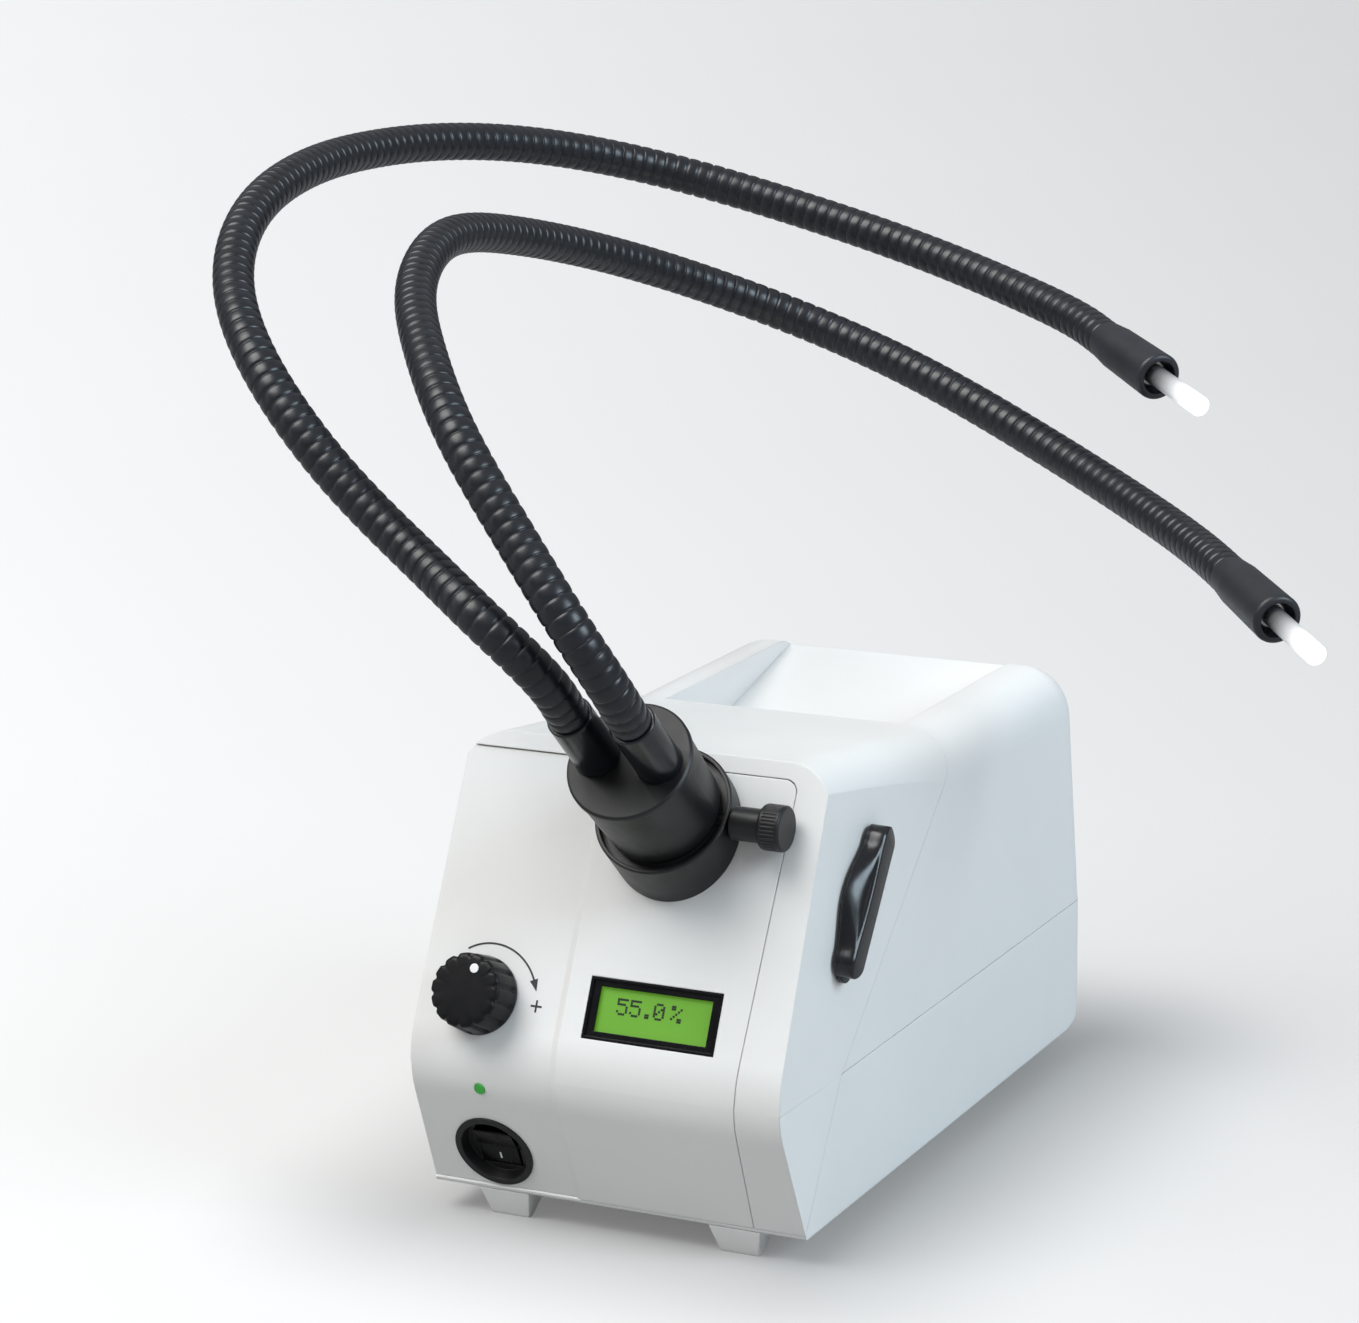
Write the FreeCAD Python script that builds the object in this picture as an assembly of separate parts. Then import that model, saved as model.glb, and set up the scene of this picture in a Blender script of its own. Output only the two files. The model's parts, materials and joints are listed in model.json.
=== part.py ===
import FreeCAD, Part
import math
import os

# Fiber optic illuminator with a two-arm gooseneck light guide, in millimetres.
# The origin is on the bench, near the middle of the housing and front_reach behind its knee. +X is the right-hand side as seen
# from the front, +Y is the back and +Z is up.

V = FreeCAD.Vector

# Housing
house_width = 155.0
house_depth = 316.0
front_reach = 151.0
knee_height = 67.2
brow_rise = 14.02
panel_lean = 25.3
chin_slope = 60.4
chin_lean = 22.3
seam_height = 65.2
waist_height = 62.9
deck_height = 168.9
deck_start = 170.0
back_lean_in = 15.0
wall = 2.8
seam_gap = 0.3
top_round = 20.0
rear_corner_round = 20.0
rear_top_round = 24.0
heel_round = 30.0
deck_blend = 150.0
edge_round = 1.5
knee_round = 34.0
over = 2.0

# Cheeks: slightly drawn-in side facets in front of a soft crease
cheek_top_y = 160.0
cheek_top_drop = 11.0
cheek_knee_y = 55.0
cheek_chin_y = 20.0
cheek_angle = 1.8
joint_gap = 0.06

# Hand-grip pocket in the deck, with the front band as its lip
pocket_side = 24.5
pocket_lip_y = 172.0
pocket_back_gap = 21.0
pocket_back_drop = 2.5
pocket_depth = 26.1
pocket_flat = 24.0
pocket_under = 17.0
lip_thickness = 9.0
pocket_floor_round = 8.0

# Front panel, let into the frame
panel_seam_knee_side = 19.2
panel_seam_top_side = 15.0
panel_seam_foot_side = 20.7
panel_seam_top_drop = 6.5
panel_corner_round = 5.0
left_recess = 0.7
left_recess_x = -14.5
left_recess_bevel = 2.5
left_recess_steps = 4
left_recess_lift = 1.6

# Port for the light guide
port_x = 16.5
port_drop = 29.0
port_tilt = 43.0
plug_radius = 12.5
plug_clearance = 0.08
plug_reach = 32.0
collar_radius = 26.6
collar_top = 14.0
collar_tube_radius = 16.0
collar_tube_reach = 34.5
port_hole_gap = 0.3
collar_edge_round = 0.8
collar_rim = 1.6
collar_groove_depth = 3.5
collar_seat_inset = 1.2

# Lock screw and its pressure pad
screw_height = 9.5
thread_radius = 2.5
thread_gap = 0.05
pad_radius = 2.45
pad_length = 4.0
pad_rest_gap = 0.1
screw_neck_radius = 6.3
screw_neck_length = 11.6
screw_neck_gap = 1.4
knurl_radius = 8.6
knurl_length = 9.0
knurl_count = 36
knurl_depth = 0.35
knurl_chamfer = 1.2

# Light-guide head and ferrules
head_radius = 24.0
head_foot_radius = 22.2
head_start_gap = 0.35
head_end = 50.5
head_rim = 2.6
head_rim_step = 0.6
head_chamfer = 0.8
arm_spacing = 24.8
ferrule_radius = 8.6
ferrule_length = 29.5
ferrule_bore_radius = 5.8
ferrule_round = 0.8

# Gooseneck arms
hose_radius = 7.75
hose_bore_radius = 6.3
rib_pitch = 5.35
rib_groove = 0.6
rib_shoulder_drop = 0.12
rib_shoulder_share = 0.16
bundle_radius = 5.7
bundle_step = 9.0
hinge_gap = 3.4
bundle_gap = 0.3
route_length = 100.0
base_hinge_at = 40.0
left_elbow_at = 520.0
right_elbow_at = 480.0
# Centre lines of the arms from the ferrule ends, as shares of the route length
left_route_shares = [
    (0.0, 0.0, 0.0), (0.0, -0.11, 0.11), (-0.17, -0.24, 0.35), (-0.49, -0.13, 0.53),
    (-0.89, -0.05, 0.81), (-1.23, 0.04, 1.13), (-1.54, 0.33, 1.40), (-1.74, 0.79, 1.61),
    (-1.83, 1.32, 1.71), (-1.86, 1.87, 1.73), (-1.79, 2.42, 1.71), (-1.60, 2.93, 1.64),
    (-1.25, 3.39, 1.50), (-0.64, 3.49, 1.34), (-0.02, 3.41, 1.19), (0.44, 3.25, 1.08),
    (0.80, 3.05, 0.99), (0.91, 2.95, 0.96)]
right_route_shares = [
    (0.0, 0.0, 0.0), (0.0, -0.11, 0.11), (-0.10, -0.24, 0.37), (-0.33, -0.19, 0.65),
    (-0.62, -0.08, 0.98), (-0.92, 0.22, 1.23), (-1.18, 0.62, 1.39), (-1.34, 1.13, 1.50),
    (-1.37, 1.67, 1.45), (-1.32, 2.21, 1.33), (-1.15, 2.70, 1.17), (-0.79, 3.05, 0.97),
    (-0.23, 3.03, 0.78), (0.36, 2.86, 0.57), (0.98, 2.49, 0.39), (1.45, 2.02, 0.30),
    (1.55, 1.90, 0.28)]
left_tip_direction = (0.735, -0.65, -0.19)
right_tip_direction = (0.665, -0.725, -0.17)

# Tips of the arms
sleeve_length = 45.0
sleeve_radius = 8.8
sleeve_mouth_radius = 9.5
sleeve_taper = 10.0
sleeve_rim_round = 2.0
sleeve_cup_depth = 6.0
sleeve_cup_radius = 7.2
sleeve_cup_floor_radius = 5.6
rod_radius = 4.0
rod_root_radius = 5.0
rod_reach = 33.0
rod_inside = 24.0
tip_lens_radius = 2.9
tip_lens_depth = 3.0

# Intensity knob
knob_side = 27.5
knob_s = 27.5
knob_radius = 15.0
knob_cap_radius = 13.9
knob_height = 14.5
knob_lobes = 14
knob_lobe_radius = 2.1
knob_lobe_depth = 0.75
knob_gap = 0.5
knob_skirt = 1.6
pot_body_radius = 8.5
pot_body_depth = 9.0
pot_bush_radius = 4.5
pot_shaft_radius = 3.0
pot_shaft_gap = 0.06
pot_shaft_reach = 9.5
pot_bush_height = 1.2

# Power switch
switch_side = 29.2
switch_s = 41.0
switch_radius = 15.4
switch_dish_depth = 4.6
switch_dish_floor = 12.6
switch_rim = 0.7
switch_step = 1.2
rocker_width = 16.0
rocker_length = 18.0
rocker_height = 5.0
rocker_pivot_depth = 5.6
rocker_gap = 0.6
rocker_tilt = 9.0
rocker_pin_radius = 1.2
rocker_pin_reach = 1.4
rocker_pin_gap = 0.06
switch_body_width = 15.0
switch_body_length = 20.0
switch_body_depth = 22.0

# Display and status light
display_side = 56.6
display_s = 28.9
display_width = 54.0
display_height = 23.4
display_border_x = 4.1
display_border_y = 3.3
display_rim = 1.0
display_rim_step = 0.8
display_ledge = 0.8
display_depth = 4.2
lcd_glass_thickness = 0.8
lcd_panel_thickness = 1.8
lcd_board_margin = 4.0
lcd_board_thickness = 1.6
lcd_gap = 0.3
led_side = 29.8
led_s = 10.5
led_radius = 2.1
led_flange_radius = 3.0
led_stand = 0.5
led_length = 7.0
led_flange_thickness = 1.0

# Filter slide, across the beam behind the plug
filter_at = 39.5
filter_plate_thickness = 3.0
filter_plate_height = 34.0
filter_plate_left = 20.0
filter_glass_radius = 12.5
filter_glass_thickness = 2.0
filter_gap = 0.35
guide_wall = 2.5
guide_left = 24.0
guide_side = 10.2
grip_lean = 36.0
grip_behind = 28.7
grip_below = 29.8
grip_length = 62.0
grip_flange_width = 12.0
grip_flange_thickness = 2.0
grip_bar_length = 60.0
grip_bar_width = 12.4
grip_bar_shift = 3.5
grip_bar_low = 4.6
grip_bar_high = 7.8
grip_neck_width = 5.0
grip_bulge = 15.8
grip_bulge_half = 17.5
grip_bulge_rear = 3.0
grip_bulge_round = 16.0
grip_lip = 1.0

# Light engine along the beam
lens_at = 48.0
barrel_radius = 20.0
barrel_bore = 14.5
barrel_start = 44.4
lens_radius = 14.5
lens_thickness = 7.0
lens_bulge = 3.5
emitter_size = 9.0
emitter_thickness = 1.4
led_board_radius = 17.0
led_board_thickness = 1.6
led_board_room = 0.3
sink_at = 71.6
sink_size = 64.0
sink_base = 6.0
engine_depth_share = 0.7874
sink_fins = 12
sink_fin_thickness = 1.8
fan_size = 62.0
fan_depth = 15.0
fan_bore_radius = 28.5
fan_hub_radius = 12.0
fan_blade_reach = 27.5
fan_blades = 7
fan_blade_thickness = 1.2
fan_blade_pitch = 35.0
fan_strut_width = 3.0
fan_strut_thickness = 2.0
fan_pin_radius = 1.5
fan_pin_gap = 0.06
stack_gap = 0.3

# Engine bracket and chassis
bracket_thickness = 2.0
bracket_front = 56.7
bracket_back = 122.7
bracket_arm_width = 26.0
bracket_top_behind = 68.7
bracket_top_below = 47.8
chassis_thickness = 1.6
chassis_front_gap = 16.1
chassis_back_gap = 31.0
chassis_side_gap = 9.5
standoff_radius = 3.5
standoff_height = 6.0
standoff_inset = 6.0
power_board_side = 22.5
power_board_front_gap = 4.0
power_board_back_gap = 51.0
power_board_thickness = 1.6
transformer_share = 0.354
transformer_height = 28.0
capacitor_share = 0.0937
capacitor_height = 30.0
coil_share = 0.229
coil_height = 16.0
small_part_share = 0.125
part_column = 32.0
part_row_share = 0.292
part_offset_share = 0.042

# Rear panel with mains inlet and air outlet
rear_panel_thickness = 2.0
rear_panel_width = 110.0
rear_panel_bottom = 29.4
rear_panel_top = 60.4
rear_panel_inset = 3.2
panel_gap = 0.3
tab_width = 3.0
tab_height = 14.0
tab_side = 1.7
tab_rise = 2.0
inlet_side = 25.0
inlet_z = 44.9
inlet_width = 43.0
inlet_height = 21.0
inlet_depth = 21.0
inlet_flange_x = 2.5
inlet_flange_z = 2.5
inlet_flange_thickness = 2.2
cavity_shift = 8.0
cavity_width = 24.0
cavity_height = 16.5
cavity_depth = 16.5
cavity_round = 3.0
pin_width = 2.0
pin_height = 4.0
pin_length = 14.0
pin_spacing = 7.0
pin_raise = 2.5
drawer_shift = 14.0
drawer_width = 13.0
drawer_height = 16.0
drawer_depth = 17.0
drawer_gap = 0.3
drawer_face = 1.6
drawer_face_margin = 0.8
drawer_rail = 1.5
grille_slots = 7
grille_slot_share = 0.5
grille_slot_height = 21.0
grille_side = 10.2
grille_inlet_gap = 9.2
intake_slots = 7
intake_slot_width = 4.0
intake_slot_length = 44.0
intake_pitch = 9.0
intake_behind = 42.7

# Feet and screws
foot_width_top = 21.0
foot_width_bottom = 15.6
foot_depth = 17.0
foot_side = 29.3
foot_toe = 3.0
foot_toe_round = 0.8
rear_foot_radius = 9.5
rear_foot_tip_radius = 8.5
rear_foot_side = 20.5
rear_foot_back_gap = 78.0
screw_head_radius = 3.4
screw_head_height = 1.6
screw_shank_radius = 1.7
screw_shank_gap = 0.1
nut_radius = 3.4
nut_height = 2.2
screw_side = 17.5
screw_front_gap = 30.1
screw_back_gap = 53.0

# Derived places
lean = math.radians(panel_lean)
undercut = math.radians(chin_lean)
tilt = math.radians(port_tilt)
knee_y = -front_reach
half_width = house_width / 2
panel_slope = (deck_height + brow_rise - knee_height) / math.cos(lean)
panel_seam_knee_x = half_width - panel_seam_knee_side
panel_seam_top_x = half_width - panel_seam_top_side
panel_seam_foot_x = half_width - panel_seam_foot_side
panel_seam_top_s = panel_slope - panel_seam_top_drop
port_s = panel_slope - port_drop
cheek_top_z = deck_height - cheek_top_drop
knob_x = knob_side - half_width
switch_x = switch_side - half_width
led_x = led_side - half_width
display_x = half_width - display_side
brow_y = knee_y + panel_slope * math.sin(lean)
brow_z = knee_height + panel_slope * math.cos(lean)
chin_y = knee_y + chin_slope * math.sin(undercut)
chin_z = knee_height - chin_slope * math.cos(undercut)
beam = V(0, -math.cos(tilt), math.sin(tilt))
beam_up = V(0, math.sin(tilt), math.cos(tilt))
port_foot = V(port_x, knee_y + port_s * math.sin(lean), knee_height + port_s * math.cos(lean))
floor_top = chin_z + wall
chassis_top = floor_top + chassis_thickness
back_face = knee_y + house_depth
pocket_width = house_width - 2 * pocket_side - wall
pocket_back_y = back_face - pocket_back_gap
engine_depth = (port_foot.z - chassis_top - fan_size / 2 * beam_up.z) / beam.z * engine_depth_share
sink_length = engine_depth - sink_at - sink_base - fan_depth
bracket_front_y = port_foot.y + bracket_front
bracket_back_y = port_foot.y + bracket_back
chassis_half_width = half_width - chassis_side_gap
chassis_front_y = chin_y + chassis_front_gap
chassis_back_y = back_face - chassis_back_gap
power_board_front = bracket_back_y + power_board_front_gap
power_board_length = back_face - power_board_back_gap - power_board_front
power_board_y = power_board_front + power_board_length / 2
power_board_width = house_width - power_board_side * 2
half_turn = math.radians(panel_lean + chin_lean) / 2
knee_run = knee_round * math.tan(half_turn)
knee_sag = knee_round / math.cos(half_turn) - knee_round
inlet_x = inlet_side - rear_panel_width / 2
guide_right = half_width - port_x - guide_side
intake_y = port_foot.y + intake_behind
rear_foot_y = back_face - rear_foot_back_gap


# Placement helpers
def put(shape, place):
    moved = shape.copy()
    moved.Placement = place.multiply(moved.Placement)
    return moved


def upper_place(x, s, out=0):
    # Local Z points out of the upper front face, local Y runs up its slope.
    turn = FreeCAD.Rotation(V(1, 0, 0), 90 - panel_lean)
    base = V(x, knee_y + s * math.sin(lean), knee_height + s * math.cos(lean))
    return FreeCAD.Placement(base + turn.multVec(V(0, 0, out)), turn)


def lower_place(x, s, out=0):
    # The same for the lower front face; s counts down from the knee.
    turn = FreeCAD.Rotation(V(1, 0, 0), 90 + chin_lean)
    base = V(x, knee_y + s * math.sin(undercut), knee_height - s * math.cos(undercut))
    return FreeCAD.Placement(base + turn.multVec(V(0, 0, out)), turn)


def beam_place(along, x=0.0, up=0.0):
    # Local Z runs out of the port along the beam, local Y is square to it, up and back.
    turn = FreeCAD.Rotation(V(1, 0, 0), 90 - port_tilt)
    return FreeCAD.Placement(port_foot + beam * along + V(x, 0, 0) + beam_up * up, turn)


def block(length, width, height, place, low=0.0):
    return put(Part.makeBox(length, width, height, V(-length / 2, -width / 2, low)), place)


def rod(radius, height, place, low=0.0):
    return put(Part.makeCylinder(radius, height, V(0, 0, low)), place)


def tube(outer, inner, height, place, low=0.0):
    return rod(outer, height, place, low).cut(rod(inner, height + 2 * over, place, low - over))


def cone(low_radius, high_radius, height, place, low=0.0):
    return put(Part.makeCone(low_radius, high_radius, height, V(0, 0, low)), place)


def at(x, y, z):
    return FreeCAD.Placement(V(x, y, z), FreeCAD.Rotation())


def rounded_wire(corners):
    # Closed outline through corner points, each with its own rounding radius.
    spans = []
    for index, (point, radius) in enumerate(corners):
        back = (corners[index - 1][0] - point).normalize()
        ahead = (corners[(index + 1) % len(corners)][0] - point).normalize()
        half = back.getAngle(ahead) / 2
        run = radius / math.tan(half)
        middle = (back + ahead).normalize()
        crest = point + middle * (radius / math.sin(half) - radius)
        spans.append((point + back * run, crest, point + ahead * run, radius))
    edges = []
    for index, (first, crest, last, radius) in enumerate(spans):
        if radius > 0:
            edges.append(Part.Arc(first, crest, last).toShape())
        following = spans[(index + 1) % len(spans)][0]
        edges.append(Part.makeLine(last, following))
    return Part.Wire(edges)


def yz_prism(corners, low_x, high_x):
    # Outline in the side view, given as (y, z, rounding), carried from low_x to high_x.
    wire = rounded_wire([(V(low_x, y, z), r) for y, z, r in corners])
    return Part.Face(wire).extrude(V(high_x - low_x, 0, 0))


def flat_prism(corners, height, place, low=0.0):
    # Outline in a local plane, given as (x, y, rounding), raised by height.
    wire = rounded_wire([(V(x, y, low), r) for x, y, r in corners])
    return put(Part.Face(wire).extrude(V(0, 0, height)), place)


def fillet_where(shape, radius, test):
    edges = [edge for edge in shape.Edges if test(edge)]
    return shape.makeFillet(radius, edges)


def edge_middle(edge):
    return edge.valueAt((edge.FirstParameter + edge.LastParameter) / 2)


def biggest(shape):
    return max(shape.Solids, key=lambda solid: solid.Volume)


def save(name, shape):
    solids = shape.Solids
    result = solids[0] if len(solids) == 1 else Part.makeCompound(solids)
    if not result.isValid():
        print("not valid:", name)
    result.exportStep("parts/" + name + ".step")
    print(name, len(solids), round(result.Volume, 1))


# Housing
def house_corners(inset):
    # Side profile of the housing, moved inwards by inset on every side.
    back_y = knee_y + house_depth
    outline = [
        (chin_y, chin_z, edge_round), (knee_y, knee_height, knee_round), (brow_y, brow_z, 0),
        (knee_y + deck_start, deck_height, deck_blend), (back_face - back_lean_in, deck_height, rear_top_round),
        (back_y, waist_height, 0), (back_y, chin_z, heel_round)]
    points = [V(0, y, z) for y, z, r in outline]
    moved = []
    for index, (y, z, r) in enumerate(outline):
        before, here, after = points[index - 1], points[index], points[(index + 1) % len(points)]
        first = (here - before).normalize()
        second = (after - here).normalize()
        normal_1 = V(0, first.z, -first.y)
        normal_2 = V(0, second.z, -second.y)
        mitre = (normal_1 + normal_2) * (inset / (1 + normal_1.dot(normal_2)))
        moved.append((y + mitre.y, z + mitre.z, max(r - inset, 0) if r > edge_round else r))
    return moved


def cheek_cutter(side, inset, rise):
    # Space outside one drawn-in facet; rise picks the facet above or below the knee.
    crease = V(side * (half_width - inset), knee_y + cheek_knee_y, seam_height)
    if rise:
        end = V(crease.x, knee_y + cheek_top_y, cheek_top_z)
    else:
        end = V(crease.x, knee_y + cheek_chin_y, chin_z)
    along = (end - crease).normalize()
    forward = V(0, -along.z, along.y) if rise else V(0, along.z, -along.y)
    inward = V(-side, 0, 0)
    draw = math.radians(cheek_angle)
    surface = forward * math.cos(draw) + inward * math.sin(draw)
    reach = house_depth
    corners = [crease - along * reach, crease + along * reach,
               crease + along * reach + surface * reach, crease - along * reach + surface * reach]
    face = Part.Face(Part.makePolygon(corners + [corners[0]]))
    return face.extrude(V(side * wall * 4, 0, 0))


def cut_cheeks(shape, inset):
    split_low = at(0, 0, seam_height)
    keep_high = block(house_width * 2, house_depth * 2, house_depth, split_low)
    keep_low = block(house_width * 2, house_depth * 2, house_depth, at(0, 0, seam_height - house_depth))
    for side in (-1, 1):
        shape = shape.cut(cheek_cutter(side, inset, True).common(keep_high))
        shape = shape.cut(cheek_cutter(side, inset, False).common(keep_low))
    return shape


def house_body(inset):
    # Solid block of the housing above and below the parting seam, rounded at top and rear.
    half = half_width - inset
    whole = yz_prism(house_corners(inset), -half, half)
    sky = block(house_width * 2, house_depth * 2, house_depth, at(0, 0, seam_height))
    upper = whole.common(sky)
    limit = half - over / 4

    def top_edge(edge):
        middle = edge_middle(edge)
        off_front = middle.y > brow_y + inset + over * 4
        side = abs(middle.x) > limit and middle.z > seam_height + over
        ends = [vertex.Point for vertex in edge.Vertexes]
        return side and off_front and all(p.z >= seam_height - over for p in ends)

    upper = fillet_where(upper, top_round - inset, top_edge)
    lower = whole.cut(sky)
    plan = flat_prism(
        [(-half, knee_y - over, 0), (half, knee_y - over, 0),
         (half, knee_y + house_depth - inset, rear_corner_round - inset),
         (-half, knee_y + house_depth - inset, rear_corner_round - inset)],
        house_depth, at(0, 0, 0))
    lower = lower.common(plan)
    return cut_cheeks(upper, inset), cut_cheeks(lower, inset)


def frame_zone(gap):
    # Region of the front frame in the side view: in front of the crease.
    return yz_prism(
        [(knee_y - over, 0, 0), (knee_y - over, house_depth, 0),
         (knee_y + pocket_lip_y - wall * 2 - gap, house_depth, 0),
         (knee_y + pocket_lip_y - wall * 2 - gap, deck_height, 0),
         (knee_y + cheek_top_y - gap, cheek_top_z, 0), (knee_y + cheek_knee_y - gap, seam_height, 0),
         (knee_y + cheek_chin_y - gap, chin_z - over, 0), (knee_y + cheek_chin_y - gap, 0, 0)],
        -house_width, house_width)


def window_solid(gap, depth):
    # The opening in the front frame that takes the front panel, shrunk by gap.
    left = -half_width - over
    top = upper_place(0, 0, -depth)
    upper = flat_prism(
        [(left, -over, 0), (panel_seam_knee_x - gap, -over, 0),
         (panel_seam_top_x - gap, panel_seam_top_s - gap, panel_corner_round),
         (left, panel_seam_top_s - gap, 0)], depth + over, top)
    foot = lower_place(0, 0, -depth)
    lower = flat_prism(
        [(left, over, 0), (left, -chin_slope - over, 0), (panel_seam_foot_x - gap, -chin_slope - over, 0),
         (panel_seam_knee_x - gap, over, 0)], depth + over, foot)
    keep_high = block(house_width * 2, house_depth, house_depth, at(0, knee_y, knee_height))
    keep_low = block(house_width * 2, house_depth, house_depth, at(0, knee_y, knee_height - house_depth))
    return upper.common(keep_high).fuse(lower.common(keep_low))


def pocket_corners(grow):
    # Side profile of the hand-grip pocket; grow adds the thickness of its own walls.
    back_y = pocket_back_y
    back_z = deck_height - pocket_back_drop
    floor_z = deck_height - pocket_depth
    lip_y = knee_y + pocket_lip_y
    floor_y = lip_y + pocket_flat
    lip_z = deck_height - lip_thickness
    front_y = lip_y - pocket_under
    sky = deck_height + top_round
    r = pocket_floor_round + grow
    return [(back_y + grow, sky, 0), (back_y + grow, back_z - grow, 0),
            (floor_y, floor_z - grow, r * 3), (front_y - grow, floor_z - grow, r),
            (front_y - grow, lip_z + grow, r / 2), (lip_y - grow, lip_z + grow, edge_round),
            (lip_y - grow, sky, 0)]


def make_housing():
    outer_upper, outer_lower = house_body(0)
    inner_upper, inner_lower = house_body(wall)
    inner = inner_upper.fuse(inner_lower)
    shell_upper = outer_upper.cut(inner)
    shell_lower = outer_lower.cut(inner)

    half = pocket_width / 2
    pocket = yz_prism(pocket_corners(0), -half, half)
    pocket_skin = yz_prism(pocket_corners(wall), -half - wall, half + wall).common(outer_upper)
    zone = frame_zone(0)
    cover = shell_upper.cut(zone).fuse(pocket_skin.cut(zone)).cut(pocket)
    cover = cover.cut(block(house_width * 2, house_depth * 2, seam_gap, at(0, 0, seam_height)))

    frame = shell_upper.fuse(shell_lower).common(frame_zone(joint_gap))
    window = window_solid(0, wall + knee_sag + seam_gap)
    panel = shell_upper.fuse(shell_lower).common(window_solid(seam_gap, wall + knee_sag))
    panel = panel.common(frame_zone(joint_gap))
    frame = biggest(frame.cut(window))

    base = shell_lower.cut(zone)
    return cover, frame, panel, base


def filter_slot(gap):
    # Opening in the right cheek for the filter plate.
    height = filter_plate_height + 2 * gap
    depth = filter_plate_thickness + 2 * gap
    reach = half_width - port_x
    return block(reach, height, depth, beam_place(-filter_at, reach), -depth / 2)


def rear_window(gap):
    width = rear_panel_width - 2 * gap
    height = rear_panel_top - rear_panel_bottom - 2 * gap
    middle = (rear_panel_top + rear_panel_bottom) / 2
    return block(width, wall * 6, height, at(0, back_face, middle), -height / 2)


def screw_places():
    x = half_width - screw_side
    return [(side * x, y) for side in (-1, 1) for y in (chin_y + screw_front_gap, back_face - screw_back_gap)]


def recess_left(panel):
    # Left of the soft crease the panel lies a little lower, reached in small steps, and its foot ends higher.
    for step in range(1, left_recess_steps + 1):
        share = step / left_recess_steps
        right = left_recess_x - left_recess_bevel * share
        keep = yz_prism(house_corners(left_recess * share), -house_width, right)
        around = block(house_width, house_depth * 3, house_depth * 3, at(right - house_width / 2, 0, -house_depth))
        panel = panel.cut(around.cut(keep))
    width = half_width + left_recess_x
    foot = block(width, left_recess_lift * 2, wall * 4, lower_place(left_recess_x - width / 2, chin_slope), -wall * 2)
    return panel.cut(foot)


def cut_panel(panel):
    # Holes for the port tube, knob bush, display, status light and switch.
    through = wall * 4
    panel = panel.cut(rod(collar_tube_radius + port_hole_gap, through * 4, beam_place(0), -through * 2))
    panel = panel.cut(rod(pot_bush_radius + lcd_gap, through, upper_place(knob_x, knob_s), -through / 2))
    opening = block(display_width, display_height, through, upper_place(display_x, display_s), -through / 2)
    panel = panel.cut(opening)
    panel = panel.cut(rod(led_radius + lcd_gap / 2, through, led_place(), -through / 2))
    return panel.cut(rod(switch_radius, through, lower_place(switch_x, switch_s), -through / 2))


def cut_base(base):
    # Rear window, air intake under the engine and screw holes.
    base = base.cut(rear_window(0))
    first = -(intake_slots - 1) / 2
    for index in range(intake_slots):
        x = (first + index) * intake_pitch
        half = intake_slot_length / 2
        r = intake_slot_width * 0.499
        corners = [(-r, -half, r * 0.9), (r, -half, r * 0.9), (r, half, r * 0.9), (-r, half, r * 0.9)]
        base = base.cut(flat_prism(corners, wall * 3, at(x, intake_y, chin_z - wall)))
    for x, y in screw_places():
        base = base.cut(rod(screw_shank_radius + screw_shank_gap, wall * 3, at(x, y, chin_z - wall)))
    return base


# Port, lock screw and light-guide plug
def make_collar():
    place = beam_place(0)
    ring = rod(collar_radius, collar_top + collar_radius, place, -collar_radius)
    ring = fillet_where(ring, collar_edge_round, lambda edge: edge.Closed
                        and (edge.valueAt(0) - port_foot).dot(beam) > 0)
    side = collar_radius * 4
    behind = put(Part.makeBox(side, side, side, V(-side / 2, -side / 2, -side)), upper_place(port_x, port_s))
    sleeve = rod(collar_tube_radius, collar_tube_reach + collar_top / 2, place, -collar_tube_reach)
    groove = rod(collar_radius - collar_rim, collar_groove_depth + over, place, collar_top - collar_groove_depth)
    groove = groove.cut(rod(head_foot_radius - collar_seat_inset, collar_top + over, place))
    collar = ring.cut(behind).cut(groove).fuse(sleeve)
    collar = collar.cut(rod(plug_radius + plug_clearance, collar_tube_reach * 3, place, -collar_tube_reach * 1.5))
    collar = collar.cut(rod(thread_radius + thread_gap, collar_radius * 2, screw_place(0)))
    return collar.removeSplitter()


def screw_place(x):
    across = FreeCAD.Rotation(V(0, 1, 0), 90)
    return FreeCAD.Placement(port_foot + beam * screw_height + V(x, 0, 0), across)


def make_lock():
    pad_start = plug_radius + pad_rest_gap
    pad = rod(pad_radius, pad_length, screw_place(pad_start))
    thread_start = pad_start + pad_length
    neck_start = collar_radius + screw_neck_gap
    thread = rod(thread_radius, neck_start - thread_start, screw_place(thread_start))
    neck = rod(screw_neck_radius, screw_neck_length, screw_place(neck_start))
    knurl_start = neck_start + screw_neck_length
    head = rod(knurl_radius, knurl_length, screw_place(knurl_start))
    head = fillet_where(head, knurl_chamfer, lambda edge: edge.Closed)
    grooves = []
    for index in range(knurl_count):
        groove = Part.makeCylinder(knurl_depth, knurl_length * 0.62, V(knurl_radius, 0, knurl_length * 0.2))
        groove.rotate(V(0, 0, 0), V(0, 0, 1), 360.0 * index / knurl_count)
        grooves.append(put(groove, screw_place(knurl_start)))
    head = head.cut(Part.makeCompound(grooves))
    return pad, thread.fuse([neck, head]).removeSplitter()


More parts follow.
